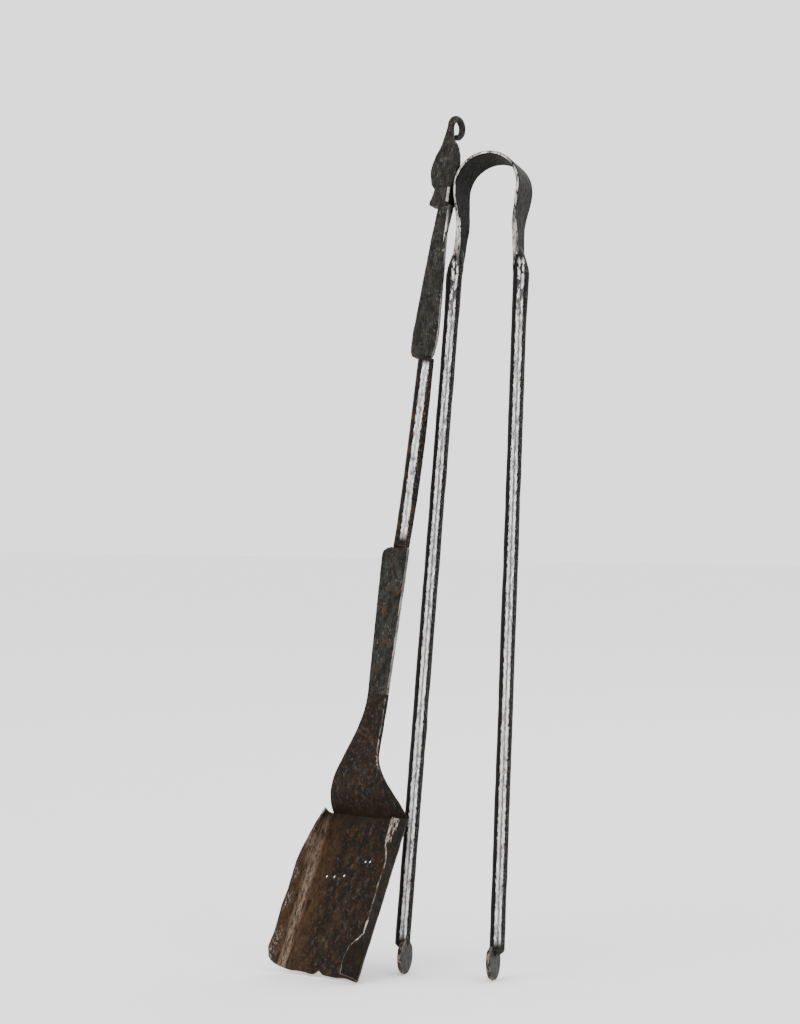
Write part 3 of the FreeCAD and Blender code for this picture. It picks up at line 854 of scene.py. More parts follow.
@dataclass
class Handle:
    """The shovel's handle, from the hanging loop down to the lower blade."""

    place: Matrix
    loop_top: float = 735.2
    loop_rod: float = 6.0
    loop_height: float = 22.0
    loop_depth: float = 23.0
    collar_foot: float = 652.6
    grip_foot: float = 519.0
    rod_foot: float = 356.2
    blade_foot: float = 232.0
    loop_turn: float = 268.0
    loop_steps: int = 28
    loop_taper: float = 0.985
    taper_from: float = 0.55
    rusty_from: float = 712.0
    leaf: tuple[Station, ...] = (
        Station(667.6, 8.6, 9.6, 5.4), Station(671.9, 11.9, 12.0, 6.0),
        Station(679.5, 14.0, 13.8, 6.4), Station(684.6, 14.3, 14.4, 6.6),
        Station(690.9, 13.4, 14.2, 6.6), Station(697.3, 11.2, 13.2, 6.4),
        Station(703.6, 8.0, 11.2, 6.2), Station(707.6, 6.2, 8.8, 6.2),
        Station(710.4, 5.1, 6.0, 6.2), Station(713.6, 4.1, 3.9, 6.2),
        Station(718.4, 3.0, 3.2, 5.8), Station(724.3, 2.2, 2.4, 4.4))
    collar: tuple[Station, ...] = (
        Station(-0.9, 7.4, 9.8, 11.4), Station(0, 8.9, 11.2, 13.4), Station(2.2, 9.0, 11.3, 13.6),
        Station(6, 7.8, 10.5, 12.2), Station(11, 6.8, 9.8, 10.4), Station(15.6, 6.4, 9.4, 9.2))
    lip: float = 1.2
    lip_end: float = 2.2
    grip_start: tuple[Station, ...] = (
        Station(0, 5.2, 8.6, 4.4), Station(1.6, 8.6, 11.4, 5.0), Station(4.5, 10.2, 12.6, 5.2),
        Station(9, 10.8, 13.4, 5.2), Station(16, 10.9, 14.2, 5.2), Station(23, 10.7, 14.6, 5.2))
    grip_end: tuple[Station, ...] = (
        Station(-24, 4.2, 10.0, 5.2), Station(-12, 1.8, 10.8, 7.2), Station(0.3, -0.4, 11.4, 10.0))
    rod_steps: int = 16
    rod_radius: float = 6.5
    rod_swell: float = 0.55
    rod_across: float = 4.7
    rod_bow: float = 1.71
    rod_drift: float = 0.7
    blade_lap: float = 0.3
    blade_start: Station = Station(0, 8.9, 10.4, 5.2)
    blade_end: tuple[Station, ...] = (
        Station(-7, 12.8, 12.6, 5.2), Station(-3.2, 12.0, 12.6, 5.2),
        Station(-1, 8.6, 12.4, 5.2), Station(0, 4.0, 12.0, 5.0))
    main: bpy.types.Material = field(init=False)
    rusty: bpy.types.Material = field(init=False)
    bright: bpy.types.Material = field(init=False)

    def build(self) -> None:
        """Mix the finishes and forge every piece of the handle."""
        self.main = ForgeScale().mix("handle_scale", self.place)
        self.rusty = ForgeScale(rusting=0.6, fleck=(0.1, 0.09, 0.075)).mix("loop_scale",
                                                                           self.place)
        self.bright = BareArris(dull=(0.2, 0.19, 0.175), cover=0.56).mix("handle_arris",
                                                                         self.place)
        self.make_loop()
        self.make_leaf()
        self.make_collar()
        self.make_grip()
        self.make_rod()
        self.make_blade()

    def make_loop(self) -> None:
        """Curl the end of the handle back and down into the hanging loop."""
        bench = Bench(Job("hanging_loop", ("hanging_eye",), levels=1, depth=0.35, mark=5.0,
                          smooth=60))
        middle = self.loop_top - self.loop_height / 2
        reach = (self.loop_height - self.loop_rod) / 2
        flat = (self.loop_depth - self.loop_rod) / (self.loop_height - self.loop_rod)
        bpy.ops.mesh.primitive_circle_add(vertices=16, radius=self.loop_rod / 2 * MM,
                                          fill_type="NGON", location=(0, 0, middle * MM))
        bench.hold()
        bpy.ops.mesh.select_all(action="SELECT")
        centre = Vector((0, reach, middle)) * MM
        for index in range(self.loop_steps):
            bpy.ops.mesh.extrude_region_move(TRANSFORM_OT_translate={"value": (0, 0, 0)})
            bench.turn(-self.loop_turn / self.loop_steps, "X", centre)
            if index > self.loop_steps * self.taper_from:
                bpy.ops.transform.resize(value=(self.loop_taper,) * 3,
                                         center_override=tuple(bench.selected_middle()))
        bpy.ops.mesh.select_all(action="SELECT")
        bpy.ops.transform.resize(value=(1, flat, 1), center_override=(0, 0, middle * MM))
        bench.deliver(self.place, [self.rusty])

    def make_leaf(self) -> None:
        """Forge the domed leaf, which draws up into the stem of the loop."""
        bench = Bench(Job("leaf_and_stem", ("leaf_finial",), depth=0.6, mark=7.0, smooth=50))
        bench.forge(self.leaf, arris=2.4, segments=3)
        bench.deliver(self.place, [self.main, self.rusty],
                      lambda middle, normal: int(middle.z > self.rusty_from))

    def make_collar(self) -> None:
        """Forge the flared collar, its bright corner facet and its rusty lip."""
        bench = Bench(Job("lipped_collar", ("neck_collar",), depth=0.4, mark=6.0))
        bench.forge(raised(self.collar, self.collar_foot), arris=1.7)

        def choose(middle: Vector, normal: Vector) -> int:
            """Return the bright facet, the rusty lip or the main scale."""
            height = middle.z - self.collar_foot
            if height < self.lip:
                return 1
            return 2 if height > self.lip_end and is_right_arris(middle, normal) else 0

        bench.deliver(self.place, [self.main, self.rusty, self.bright], choose)

    def make_grip(self) -> None:
        """Forge the upper blade, with its worn right edge and rounded lower corners."""
        bench = Bench(Job("grip_blade_forged", ("grip_blade",), depth=0.55))
        start = raised(self.grip_start, self.grip_foot)
        end = raised(self.grip_end, self.collar_foot)
        bench.forge(start + start[-1].towards(end[0], 8) + end[1:], arris=0.9)
        bench.deliver(self.place, [self.main, self.bright], is_right_side)

    def make_rod(self) -> None:
        """Forge the eight-sided rod, a little swollen and bowed along its middle."""
        bench = Bench(Job("octagon_rod", ("shank_rod",), slot="worn_iron", bevel=0.9, depth=0.35,
                          smooth=25))
        top = self.grip_foot + 0.4
        stations = []
        for index in range(self.rod_steps + 1):
            share = index / self.rod_steps
            swell = self.rod_swell * math.sin(math.pi * (share * 0.9 + 0.03))
            across = (self.rod_across + self.rod_bow * math.sin(math.pi * share ** 0.8)
                      + self.rod_drift * share)
            stations.append(round_station(self.rod_foot + (top - self.rod_foot) * share,
                                          self.rod_radius + swell, across))
        bench.forge_round(stations, sides=8)
        axis = self.place @ Matrix.Translation(Vector((6.0, 0, 0)) * MM)
        # The rod's bright band is partly a painted highlight, which facing turns towards the
        # camera.
        bar = BurnishAndHighlightBar(7.0, facing=35.9, left=-0.42, right=0.34, groove=0.08, grooving=0.5,
                           rusting=0.7, rust=(0.045, 0.02, 0.008), foot=self.rod_foot + 4,
                           crest=self.grip_foot - 2)
        bench.deliver(self.place, [bar.mix("rod_burnish_and_highlight", axis)])

    def make_blade(self) -> None:
        """Forge the lower blade, which narrows towards the fan."""
        bench = Bench(Job("lower_blade_forged", ("lower_blade",)))
        foot = raised([self.blade_start], self.blade_foot)[0]
        lap = replace(foot, along=foot.along - self.blade_lap)
        end = raised(self.blade_end, self.rod_foot)
        bench.forge([lap] + foot.towards(end[0], 9) + end[1:], arris=0.8)
        scale = ForgeScale(rusting=0.6, rust=(0.075, 0.032, 0.012))
        bench.deliver(self.place, [scale.mix("blade_scale", self.place), self.bright],
                      is_right_side)


Numbers = dict[tuple[int, int], int]


@dataclass
class Scoop:
    """The fan-shaped throat and the folded pan at the shovel's foot."""

    place: Matrix
    blade_foot: float = 232.0
    fan_foot: float = 130.0
    half_width: float = 38.0
    fan_steps: int = 26
    left_start: float = 229.0
    right_start: float = 182.0
    bulge: float = 2.5
    bulge_height: float = 168.0
    setback: float = 13.6
    pan_tilt: float = 16.1
    pan_length: float = 141.0
    pan_half: float = 40.0
    pan_skew: float = 0.4
    sheet: float = 2.0
    drawn_sheet: float = 1.6
    left_flange: float = 16.5
    right_flange: float = 18.0
    columns: int = 46
    rows: int = 47
    fold_steps: int = 4
    hole: float = 2.35
    holes: tuple[tuple[float, float], ...] = (
        (-25.7, 55.3), (-17.9, 54.7), (-8.4, 53.0), (8.6, 39.0), (13.0, 38.6))
    left_fold: float = 114.0
    left_splay: float = 61.0
    right_fold: float = 100.0
    right_splay: float = 11.0
    foot_curl: float = 34.0
    waviness: float = 2.0
    left_drop: float = 1.2
    right_drop: float = 5.0
    notch_across: float = -3.0
    notch_width: float = 3.0
    notch_height: float = 3.4
    left_rise: float = 1.8
    corner_radius: float = 14.0
    fold_inset: float = 3.4
    rubbed_depth: float = 6.0
    rubbed_length: float = 30.0
    rubbed_top: float = 26.0
    rubbed_foot: float = 98.0
    rubbed_inset: float = 2.6
    rubbed_rise: float = 4.5
    wall_inset: float = 9.0
    blade_left: float = 8.9
    blade_right: float = 10.4
    blade_thick: float = 5.2
    fan_thinning: float = 2.6

    def build(self) -> None:
        """Forge the fan and fold the pan."""
        pan_place = self.place @ Matrix.Translation(
            Vector((0, self.setback, self.fan_foot)) * MM) @ turned(-self.pan_tilt, "X")
        self.make_fan()
        self.make_pan(pan_place)

    def fan_middle(self, height: float) -> float:
        """Return how far back the fan's sheet lies at a height."""
        if height >= self.bulge_height:
            rise = (self.blade_foot - height) / (self.blade_foot - self.bulge_height)
            return -self.bulge * soft_step(rise)
        fall = (self.bulge_height - height) / (self.bulge_height - self.fan_foot)
        return -self.bulge + (self.setback + self.bulge) * fall ** 2.2

    def fan_station(self, height: float) -> Station:
        """Return the fan's section at a height."""
        share = (self.blade_foot - height) / (self.blade_foot - self.fan_foot)
        left, right = (
            narrow + (self.half_width - narrow) * soft_step((start - height)
                                                            / (start - self.fan_foot))
            for narrow, start in ((self.blade_left, self.left_start),
                                  (self.blade_right, self.right_start)))
        slope = self.fan_middle(height + 0.5) - self.fan_middle(height - 0.5)
        thick = (self.blade_thick - self.fan_thinning * share) * math.hypot(1, slope)
        return Station(height, left, right, thick, self.fan_middle(height))

    def make_fan(self) -> None:
        """Spread the blade into the fan, which turns back to meet the pan."""
        bench = Bench(Job("fan_sheet", ("fan_throat",), slot="rusty_iron"))
        drop = self.blade_foot - self.fan_foot
        stations = [self.fan_station(self.blade_foot - drop * index / self.fan_steps)
                    for index in range(self.fan_steps + 1)]
        bench.forge(stations, arris=0.7)
        # The fan's plate is painted darker towards its foot, as shade in the crease.
        plate = RustyPlate(brown=(0.016, 0.0105, 0.0065), crease=self.fan_foot)
        bright = BareArris((0.36, 0.31, 0.26)).mix("fan_arris", self.place)
        bench.deliver(self.place, [plate.mix("fan_plate", self.place), bright], is_right_arris)

    def bottom_rise(self, across: float) -> float:
        """Return how far the pan's cut edge rises above its full length, across the sheet."""
        rise = 1.2 + 0.8 * math.sin(across / 9.0) + 0.5 * math.sin(across / 3.7 + 1.0)
        from_notch = (across - self.notch_across) / self.notch_width
        rise += self.notch_height * math.exp(-from_notch ** 2)
        if across < self.notch_across:
            rise += self.left_rise
        inside = self.corner_radius - (across + self.pan_half + self.left_flange)
        if inside > 0:
            rise += self.corner_radius - math.sqrt(max(self.corner_radius ** 2 - inside ** 2, 0))
        return rise

    def flange_turns(self, along: float) -> tuple[float, float]:
        """Return how far the left and the right flange are folded up, in degrees."""
        share = along / self.pan_length
        left = (self.left_fold - self.left_splay * soft_step(share / 0.55) ** 0.6
                + self.waviness * math.sin(along / 11.0))
        right = (self.right_fold - self.right_splay * soft_step((share - 0.12) / 0.2)
                 + self.foot_curl * soft_step((share - 0.70) / 0.2)
                 + self.waviness * math.sin(along / 8.0))
        return left, right

    def rim_reach(self, along: float) -> tuple[float, float]:
        """Return how much of its width each flange has at a place along the pan."""
        left = 1.0 + 0.02 * math.sin(along / 7.0)
        right = 1.0 - 0.24 * soft_step((along - 22.0) / 20.0) * soft_step((118.0 - along) / 16.0)
        right += 0.03 * math.sin(along / 6.5 + 0.6) + 0.02 * math.sin(along / 2.9)
        return left, right

    def top_drop(self, across: float) -> float:
        """Return how far each flange's top corner is cut down, across the sheet."""
        if across < 0:
            return self.left_drop * soft_step((-across - self.pan_half) / self.left_flange)
        return self.right_drop * soft_step((across - self.pan_half) / self.right_flange)

    def make_pan(self, pan_place: Matrix) -> None:
        """Cut the sheet, fold up its flanges, thicken it and prick its holes."""
        bench = Bench(Job("folded_pan", ("pan",), slot="rusty_iron", levels=1, depth=0.7,
                          mark=10.0, smooth=40))
        numbers = self.lay_sheet(bench)
        self.trim_sheet(bench, numbers)
        for row in range(self.rows + 1):
            self.fold_row(bench, numbers, row)
        self.skew_sheet(bench, numbers)
        # The pan's plate is painted darker near its top, as shade in the crease.
        plate = RustyPlate(fold=self.pan_half + 1.5, wall=self.pan_half, crease=0.0,
                           crease_reach=-11.0)
        edge = BareArris((0.36, 0.32, 0.28), dark=(0.03, 0.017, 0.01), cover=0.49)
        bench.dress([plate.mix("pan_plate", pan_place), edge.mix("pan_edge", pan_place)])
        bench.modify("SOLIDIFY", thickness=self.drawn_sheet * MM, offset=0.0,
                     material_offset_rim=1)
        bench.finish_form()
        self.rub_wall(bench.piece)
        self.prick_holes(bench)
        bench.cool(pan_place)

    @property
    def low(self) -> float:
        """Return the left edge of the flat sheet."""
        return -self.pan_half - self.left_flange

    @property
    def pitch(self) -> float:
        """Return the distance from one column of the sheet to the next."""
        return (self.pan_half + self.right_flange - self.low) / self.columns

    def lay_sheet(self, bench: Bench) -> Numbers:
        """Lay the flat sheet on the bench, and return the number of each of its points."""
        width = self.pitch * self.columns
        centre = Vector((self.low + width / 2, -self.sheet / 2, -self.pan_length / 2)) * MM
        bpy.ops.mesh.primitive_grid_add(x_subdivisions=self.columns, y_subdivisions=self.rows,
                                        size=1, location=centre, rotation=(math.pi / 2, 0, 0))
        bench.hold()
        bpy.ops.mesh.select_all(action="SELECT")
        bpy.ops.transform.resize(value=(width * MM, 1, self.pan_length * MM),
                                 center_override=tuple(centre))
        shape = bmesh.from_edit_mesh(bench.piece.data)
        order = sorted(shape.verts, key=lambda point: (round(-point.co.z, 5),
                                                       round(point.co.x, 5)))
        return {divmod(index, self.columns + 1): point.index
                for index, point in enumerate(order)}

    def trim_sheet(self, bench: Bench, numbers: Numbers) -> None:
        """Cut the sheet's foot and its top corners to their outline, column by column."""
        for column in range(self.columns + 1):
            across = self.low + self.pitch * column
            bench.pick_numbers(numbers[(row, column)] for row in range(self.rows + 1))
            for trim, hold in ((self.bottom_rise(across), 0), (self.top_drop(across), 1)):
                bpy.ops.transform.resize(
                    value=(1, 1, 1 - trim / self.pan_length),
                    center_override=(0, 0, -self.pan_length * MM * hold))

    def fold_row(self, bench: Bench, numbers: Numbers, row: int) -> None:
        """Fold both flanges up on one row of the sheet.

        Args:
            bench: The bench that holds the sheet.
            numbers: The number of the point at each row and column.
            row: The row to fold, from the top.
        """
        along = self.pan_length * row / self.rows
        middle = -self.low / self.pitch
        half = (self.pan_half - self.fold_inset) / self.pitch
        for step, turn, reach in zip((-1, 1), self.flange_turns(along), self.rim_reach(along)):
            start = round(middle + step * half)
            last = -1 if step < 0 else self.columns + 1
            hinge = bench.place_of(numbers[(row, start)])
            bench.pick_numbers(numbers[(row, column)]
                               for column in range(start + step, last, step))
            bpy.ops.transform.resize(value=(reach, 1, 1), center_override=tuple(hinge))
            for column in range(start, start + step * self.fold_steps, step):
                hinge = bench.place_of(numbers[(row, column)])
                bench.pick_numbers(numbers[(row, other)]
                                   for other in range(column + step, last, step))
                bench.turn(-step * turn / self.fold_steps, "Z", hinge)

    def skew_sheet(self, bench: Bench, numbers: Numbers) -> None:
        """Shift each row of the sheet to the left, more towards the foot."""
        drift = math.tan(math.radians(self.pan_skew)) * MM
        for row in range(self.rows + 1):
            bench.pick_numbers(numbers[(row, column)] for column in range(self.columns + 1))
            along = self.pan_length * row / self.rows
            bpy.ops.transform.translate(value=(-along * drift, 0, 0))

    def rub_wall(self, pan: bpy.types.Object) -> None:
        """Lay bare the right wall beside its rim at the top and along its fold at the foot."""
        for face in pan.data.polygons:
            across, depth, along = face.center / MM
            rim = self.rim_reach(-along)[1] * self.right_flange
            taper = self.rubbed_depth * (1 + along / self.rubbed_length)
            beside_rim = depth + rim < taper and -along < self.rubbed_top
            beside_fold = (self.pan_half - across < self.rubbed_inset
                           and -depth < self.rubbed_rise and -along > self.rubbed_foot)
            if self.pan_half - across < self.wall_inset and (beside_rim or beside_fold):
                face.material_index = 1

    def prick_holes(self, bench: Bench) -> None:
        """Prick small round holes through the pan's floor."""
        sheet = bench.piece
        for across, along in self.holes:
            bpy.ops.object.select_all(action="DESELECT")
            bpy.ops.mesh.primitive_cylinder_add(
                vertices=12, radius=self.hole / 2 * MM, depth=12 * MM,
                location=Vector((across, -self.sheet / 2, -along)) * MM,
                rotation=(math.pi / 2, 0, 0))
            punch = bpy.context.active_object
            bpy.context.view_layer.objects.active = sheet
            bench.modify("BOOLEAN", object=punch, operation="DIFFERENCE", solver="EXACT")
            bpy.data.objects.remove(punch)


# ---------------------------------------------------------------- the tongs

@dataclass
class Spring:
    """The bow of the tongs, a strip bent over in a half circle and drawn in to two necks."""

    place: Matrix
    length: float = TONGS_LENGTH
    radius: float = 29.7
    thickness: float = 3.0
    width: float = BOW_WIDTH
    waist_drop: float = 63.0
    waist_half: float = 26.4
    neck_drop: float = NECK_DROP
    neck_thickness: float = 5.6
    neck_width: float = 15.5
    neck_half: float = 29.4
    flex_drop: float = 43.0
    flex_reach: float = 24.0
    bends: int = 20
    cheek_steps: int = 18
    tongue: tuple[tuple[float, float, float, float], ...] = (
        (91, 5.4, 0.3, 14.6), (97, 4.4, 0.8, 12.6), (103, 2.8, 1.4, 9.0))

    def build(self) -> None:
        """Forge both halves of the bow."""
        inner = ForgeScale(flecks=0.2, rusting=0.06, mid=(0.015, 0.015, 0.0145),
                           base=(0.008, 0.008, 0.0075), fleck=(0.05, 0.05, 0.045), sheen=0.008)
        outer = ForgeScale(flecks=0.3, rusting=0.1, mid=(0.024, 0.024, 0.022),
                           base=(0.011, 0.011, 0.010), sheen=0.02)
        materials = [inner.mix("bow_inside", self.place), outer.mix("bow_outside", self.place),
                     BareArris(cover=0.535).mix("bow_edge", self.place)]
        for side in Side:
            self.make_half(side, materials)

    def cheek(self, side: Side, drop: float) -> Station:
        """Return the level section of one cheek.

        Args:
            side: The side it is on.
            drop: How far the section lies below the top of the bow.
        """
        radius = self.radius - self.thickness / 2
        waist = self.waist_half - self.thickness / 2
        neck = self.neck_half - self.neck_thickness / 2
        if drop <= self.waist_drop:
            depth = (drop - self.radius) / (self.waist_drop - self.radius)
            middle = radius + (waist - radius) * soft_step(depth)
        else:
            rest = (drop - self.waist_drop) / (self.neck_drop - self.waist_drop)
            middle = waist + (neck - waist) * rest
        share = soft_step((drop - self.radius) / (self.neck_drop - self.radius))
        width = self.width + (self.neck_width - self.width) * share
        share = soft_step((drop - self.flex_drop) / (self.neck_drop - self.flex_drop))
        thick = self.thickness + (self.neck_thickness - self.thickness) * share
        return set_across(self.length - drop, thick / 2, side.value * middle, width)

    def make_half(self, side: Side, materials: Sequence[bpy.types.Material]) -> None:
        """Forge one half of the bow, from its top down to the neck of a leg.

        Args:
            side: The side it is on.
            materials: The finish of its inside, its outside and its front edge.
        """
        name = side.name.lower()
        nodes = ("bow_crown",) if side is Side.LEFT else ()
        bench = Bench(Job(name + "_spring_half", (name + "_bow_cheek", *nodes), body="",
                          depth=0.3, mark=12.0))
        centre = Vector((0, 0, self.length - self.radius)) * MM
        top = centre + Vector((0, 0, self.radius - self.thickness / 2)) * MM
        bpy.ops.mesh.primitive_plane_add(size=1, location=top, rotation=(0, math.pi / 2, 0))
        bench.hold()
        bpy.ops.mesh.select_all(action="SELECT")
        bpy.ops.transform.resize(value=(1, self.width * MM, self.thickness * MM),
                                 center_override=tuple(top))
        bpy.ops.mesh.bevel(offset=0.7 * MM, segments=1, affect="VERTICES")
        for _ in range(self.bends):
            bpy.ops.mesh.extrude_region_move(TRANSFORM_OT_translate={"value": (0, 0, 0)})
            bench.turn(side.value * 90 / self.bends, "Y", centre)
        first = self.cheek(side, self.radius)
        drops = [self.radius + (self.neck_drop - self.radius) * index / self.cheek_steps
                 for index in range(1, self.cheek_steps + 1)]
        bench.draw_out([first] + [self.cheek(side, drop) for drop in drops])
        tongue = [self.cheek(side, self.neck_drop)]
        for drop, thick, outset, width in self.tongue:
            middle = side.value * (self.neck_half - self.neck_thickness / 2 + outset)
            tongue.append(set_across(self.length - drop, thick / 2, middle, width))
        bench.draw_out(tongue)
        axis = Vector((0, 0, (self.length - self.radius)))

        def choose(middle: Vector, normal: Vector) -> int:
            """Return the inside, the outside or the bright front edge."""
            if normal.y < -0.85:
                return 2
            outward = middle - axis
            if middle.z < axis.z:
                outward.z = 0
            outward.y = 0
            return int(normal.dot(outward) > 0)

        piece = bench.deliver(self.place, materials, choose)
        start, end = (tuple(self.place @ (self.spot(side, self.flex_drop + reach) * MM))
                      for reach in (-self.flex_reach, self.flex_reach))
        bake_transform(piece)
        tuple(start)
        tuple(end)

    def spot(self, side: Side, drop: float) -> Vector:
        """Return a point on the middle of one cheek, a drop below the top of the bow."""
        return Vector((side.value * (self.radius - self.thickness), 0, self.length - drop))


@dataclass
class Leg:
    """One leg of the tongs: a round bar with a scarfed head, and the pad it grips with."""

    side: Side
    tongs: Matrix
    length: float = TONGS_LENGTH
    neck_drop: float = NECK_DROP
    bottom: float = 22.5
    bottom_spread: float = 82.4
    top_spread: float = 58.4
    sway: float = 5.0
    bar: float = 12.7
    head_length: float = 16.0
    head_taper: float = 55.0
    pad: float = 28.0
    pad_thickness: float = 3.2
    pad_inset: float = 3.0
    pad_lift: float = 0.8
    foot_rows: tuple[tuple[float, float, float, float], ...] = (
        (-6.5, 1.5, 1.0, 10.0), (-3.4, 2.3, 0.9, 10.6), (-1.2, 4.4, 0.3, 10.8))
    neck_rows: tuple[tuple[float, float, float, float], ...] = (
        (-12, 6.7, 0.3, 14.8), (-7, 5.9, 1.0, 15.2), (-2, 5.0, 1.8, 15.6),
        (2, 3.8, 2.3, 15.4), (6, 2.4, 2.6, 14.2))
    unevenness: float = 0.14
    scale_below: float = 3.0
    steps: int = 26
    rise: float = field(init=False)
    place: Matrix = field(init=False)

    def __post_init__(self) -> None:
        """Work out the leg's own frame, whose Z axis runs up the bar from its bottom end."""
        sign = self.side.value
        foot = Vector((sign * self.bottom_spread / 2 + self.sway, 0, self.bottom))
        top = Vector((sign * self.top_spread / 2, 0, self.length - self.neck_drop))
        run = top - foot
        self.rise = run.length
        lean = math.degrees(math.atan2(run.x, run.z))
        self.place = self.tongs @ Matrix.Translation(foot * MM) @ turned(lean, "Y")

    @property
    def name(self) -> str:
        """Return the side's name."""
        return self.side.name.lower()

    def build(self) -> None:
        """Forge the bar and its pad."""
        self.make_bar()
        self.make_pad()

    def make_bar(self) -> None:
        """Draw the round bar up to its head and on to the neck under the spring."""
        sign = self.side.value
        dice = random.Random(11 + sign)
        bench = Bench(Job(self.name + "_round_bar", (self.name + "_leg",), self.name + "_arm",
                          "worn_iron", levels=1, mark=8.0, smooth=60))
        stations = [set_across(along, half, -sign * self.pad_inset * share, thick)
                    for along, half, share, thick in self.foot_rows]
        stations += [round_station(0.2, 5.4), round_station(1.2, 6.1), round_station(2.6, 6.35)]
        start = stations[-1].along
        top = self.rise - self.head_length - self.head_taper
        for index in range(1, self.steps + 1):
            radius = self.bar / 2 + dice.uniform(-0.12, 0.14)
            stations.append(round_station(
                start + (top - start) * index / self.steps, radius,
                dice.uniform(-self.unevenness, self.unevenness),
                dice.uniform(-self.unevenness, self.unevenness)))
        stations += [round_station(top + 22, 6.5), round_station(top + 40, 6.8, sign * 0.3),
                     round_station(self.rise - 18, 7.05, sign * 0.5)]
        stations += [set_across(self.rise + along, half, -sign * inset, thick)
                     for along, half, inset, thick in self.neck_rows]
        bench.forge_round(stations, sides=24)
        # The bar's bright band is partly a painted highlight facing the camera, and partly wear.
        burnish_and_highlight = BurnishAndHighlightBar(self.bar / 2, foot=self.scale_below, head=self.rise,
                               crest=self.rise - 3)
        neck = ForgeScale(flecks=0.4, rusting=0.25)
        edge = BareArris(cover=0.5)

        def choose(middle: Vector, normal: Vector) -> int:
            """Return the burnish with its painted highlight, the scale at the foot and neck, or
            the neck's front edge.
            """
            if middle.z < self.rise - 3:
                return int(middle.z < self.scale_below)
            return 2 if normal.y < -0.93 else 1

        bench.deliver(self.place, [burnish_and_highlight.mix(self.name + "_bar_burnish_and_highlight", self.place),
                                   neck.mix(self.name + "_shoulder", self.place),
                                   edge.mix(self.name + "_neck_edge", self.place)], choose)

    def make_pad(self) -> None:
        """Flatten the pad, with a worn rim and a slightly pointed foot."""
        bench = Bench(Job(self.name + "_pad", (self.name + "_foot",), self.name + "_arm",
                          levels=1, depth=0.3, mark=6.0, smooth=40))
        centre = Vector((-self.side.value * self.pad_inset, 0,
                         self.pad / 2 - self.bottom)) * MM
        bpy.ops.mesh.primitive_cylinder_add(vertices=48, radius=self.pad / 2 * MM,
                                            depth=self.pad_thickness * MM, location=centre,
                                            rotation=(0, math.pi / 2, 0))
        bench.hold()
        bpy.ops.mesh.select_mode(type="FACE")
        bpy.ops.mesh.select_all(action="DESELECT")
        shape = bmesh.from_edit_mesh(bench.piece.data)
        for face in shape.faces:
            face.select_set(abs(face.normal.x) > 0.9)
        bmesh.update_edit_mesh(bench.piece.data)
        bpy.ops.mesh.inset(thickness=1.3 * MM, depth=0.35 * MM)
        bpy.ops.mesh.inset(thickness=4.0 * MM, depth=0.15 * MM)
        bpy.ops.mesh.select_mode(type="VERT")
        bpy.ops.mesh.select_all(action="SELECT")
        bpy.ops.transform.translate(value=(0, 0, self.pad_lift * MM))
        low = centre.z - (self.pad / 2 - self.pad_lift) * MM
        for reach, shift in ((7.0, -0.3), (3.5, -0.3)):
            bench.pick(lambda place: place.z < low + reach * MM)
            bpy.ops.transform.translate(value=(0, 0, shift * MM))
        bench.pick(lambda place: place.z > centre.z + self.pad * 0.36 * MM)
        bpy.ops.transform.resize(value=(1, 0.86, 1), center_override=tuple(centre))
        face = ForgeScale(flecks=0.2, rusting=0.15, mid=(0.036, 0.036, 0.035),
                          base=(0.02, 0.02, 0.0195))
        rim = BareArris((0.2, 0.16, 0.125), dull=(0.07, 0.055, 0.045), cover=0.5,
                        dark=(0.02, 0.013, 0.008))
        reach = self.pad / 2 - 0.8
        middle = centre / MM
        bench.deliver(self.place, [face.mix(self.name + "_pad_face", self.place),
                                   rim.mix(self.name + "_pad_rim", self.place)],
                      lambda place, normal: int((place - middle).yz.length > reach))


# ---------------------------------------------------------------- the studio

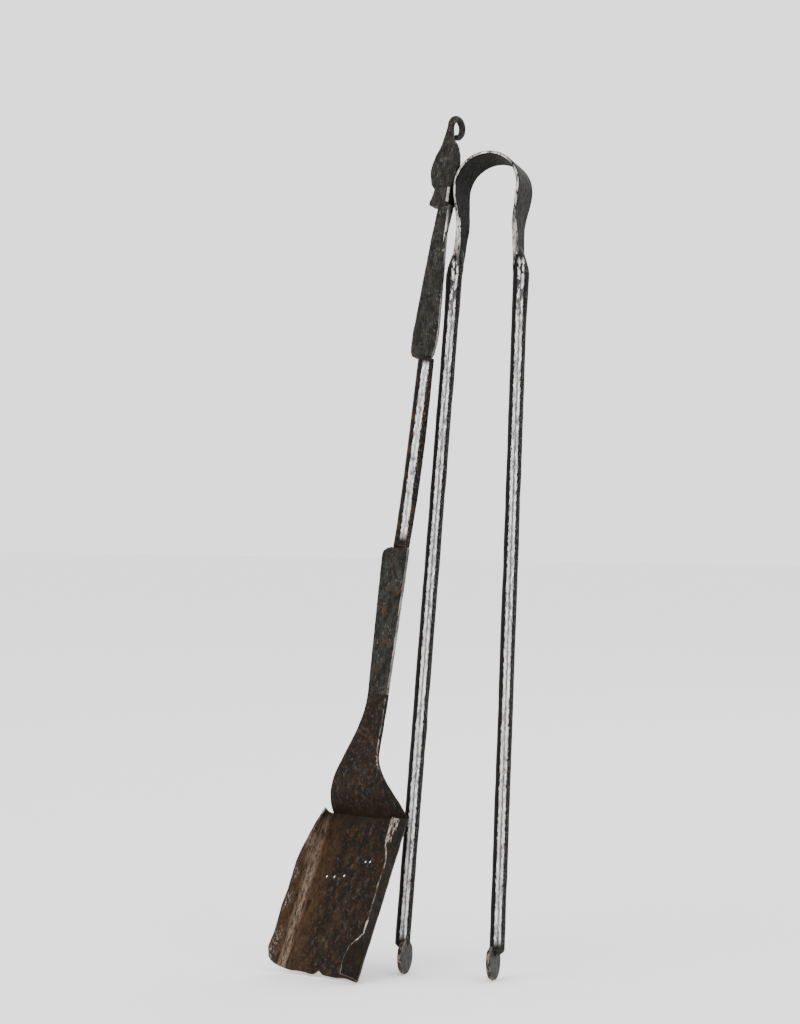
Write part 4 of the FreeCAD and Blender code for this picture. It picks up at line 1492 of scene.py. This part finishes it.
@dataclass(frozen=True)
class Studio:
    """A pale floor, soft light and the camera."""

    azimuth: float = 21.02
    elevation: float = 1.664
    distance: float = 2.4236
    lens: float = 101.88
    aim: tuple[float, float, float] = (-0.01141, 0.00558, 0.3781)
    air: float = 1.9
    floor_size: float = 14.0
    lit: tuple[float, float, float] = (0, 0, 0.36)

    def back(self) -> Vector:
        """Return the direction from what the camera looks at to the camera."""
        across = math.radians(self.azimuth)
        up = math.radians(self.elevation)
        return Vector((math.sin(across) * math.cos(up), -math.cos(across) * math.cos(up),
                       math.sin(up)))

    def build(self) -> None:
        """Set up the floor, the light and the camera."""
        self.make_floor()
        self.make_light("key_light", (-1.3, -1.9, 2.2), size=1.6, power=30.0)
        self.make_light("side_light", (2.2, -1.2, 1.3), size=1.2, power=12.0)
        self.make_light("back_light", (0.4, 2.2, 2.0), size=1.6, power=16.0)
        world = bpy.data.worlds.new("studio_air")
        world.use_nodes = True
        background = world.node_tree.nodes["Background"]
        background.inputs["Color"].default_value = (1.0, 1.0, 1.0, 1.0)
        background.inputs["Strength"].default_value = self.air
        bpy.context.scene.world = world
        self.make_camera()

    def make_floor(self) -> None:
        """Lay the floor."""
        bpy.ops.object.select_all(action="DESELECT")
        bpy.ops.mesh.primitive_plane_add(size=self.floor_size, location=(0, 0, 0))
        floor = bpy.context.active_object
        floor.name = "pale_floor"
        material = bpy.data.materials.new("floor_paint")
        material.use_nodes = True
        shader = material.node_tree.nodes["Principled BSDF"]
        shader.inputs["Base Color"].default_value = (0.93, 0.93, 0.93, 1)
        shader.inputs["Roughness"].default_value = 0.9
        floor.data.materials.append(material)

    def make_light(self, name: str, spot: tuple[float, float, float], size: float,
                   power: float) -> None:
        """Hang a square soft light that points at the middle of the set.

        Args:
            name: The light's name.
            spot: Where it hangs, in metres.
            size: The length of its side, in metres.
            power: Its power, in watts.
        """
        lamp = bpy.data.lights.new(name, "AREA")
        lamp.size = size
        lamp.energy = power
        holder = bpy.data.objects.new(name, lamp)
        holder.location = spot
        toward = Vector(self.lit) - Vector(spot)
        holder.rotation_euler = toward.to_track_quat("-Z", "Y").to_euler()
        bpy.context.scene.collection.objects.link(holder)

    def make_camera(self) -> None:
        """Set up the camera at the set's own viewing angle."""
        eye = bpy.data.cameras.new("view_camera")
        eye.lens = self.lens
        eye.sensor_width = 36.0
        eye.clip_end = 50.0
        holder = bpy.data.objects.new("view_camera", eye)
        holder.location = Vector(self.aim) + self.back() * self.distance
        holder.rotation_euler = self.back().to_track_quat("Z", "Y").to_euler()
        bpy.context.scene.collection.objects.link(holder)
        bpy.context.scene.camera = holder


def write_sizes() -> None:
    """Update the view layer."""
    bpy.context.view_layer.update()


def main() -> None:
    """Build the set, piece by piece, and the studio round it."""
    logging.basicConfig(level=logging.INFO, format="%(name)s: %(message)s")
    shovel = shovel_place()
    tongs = tongs_place()
    Handle(shovel).build()
    Scoop(shovel).build()
    Spring(tongs).build()
    for side in Side:
        Leg(side, tongs).build()
    Studio().build()
    write_sizes()


if __name__ == "__main__":
    main()
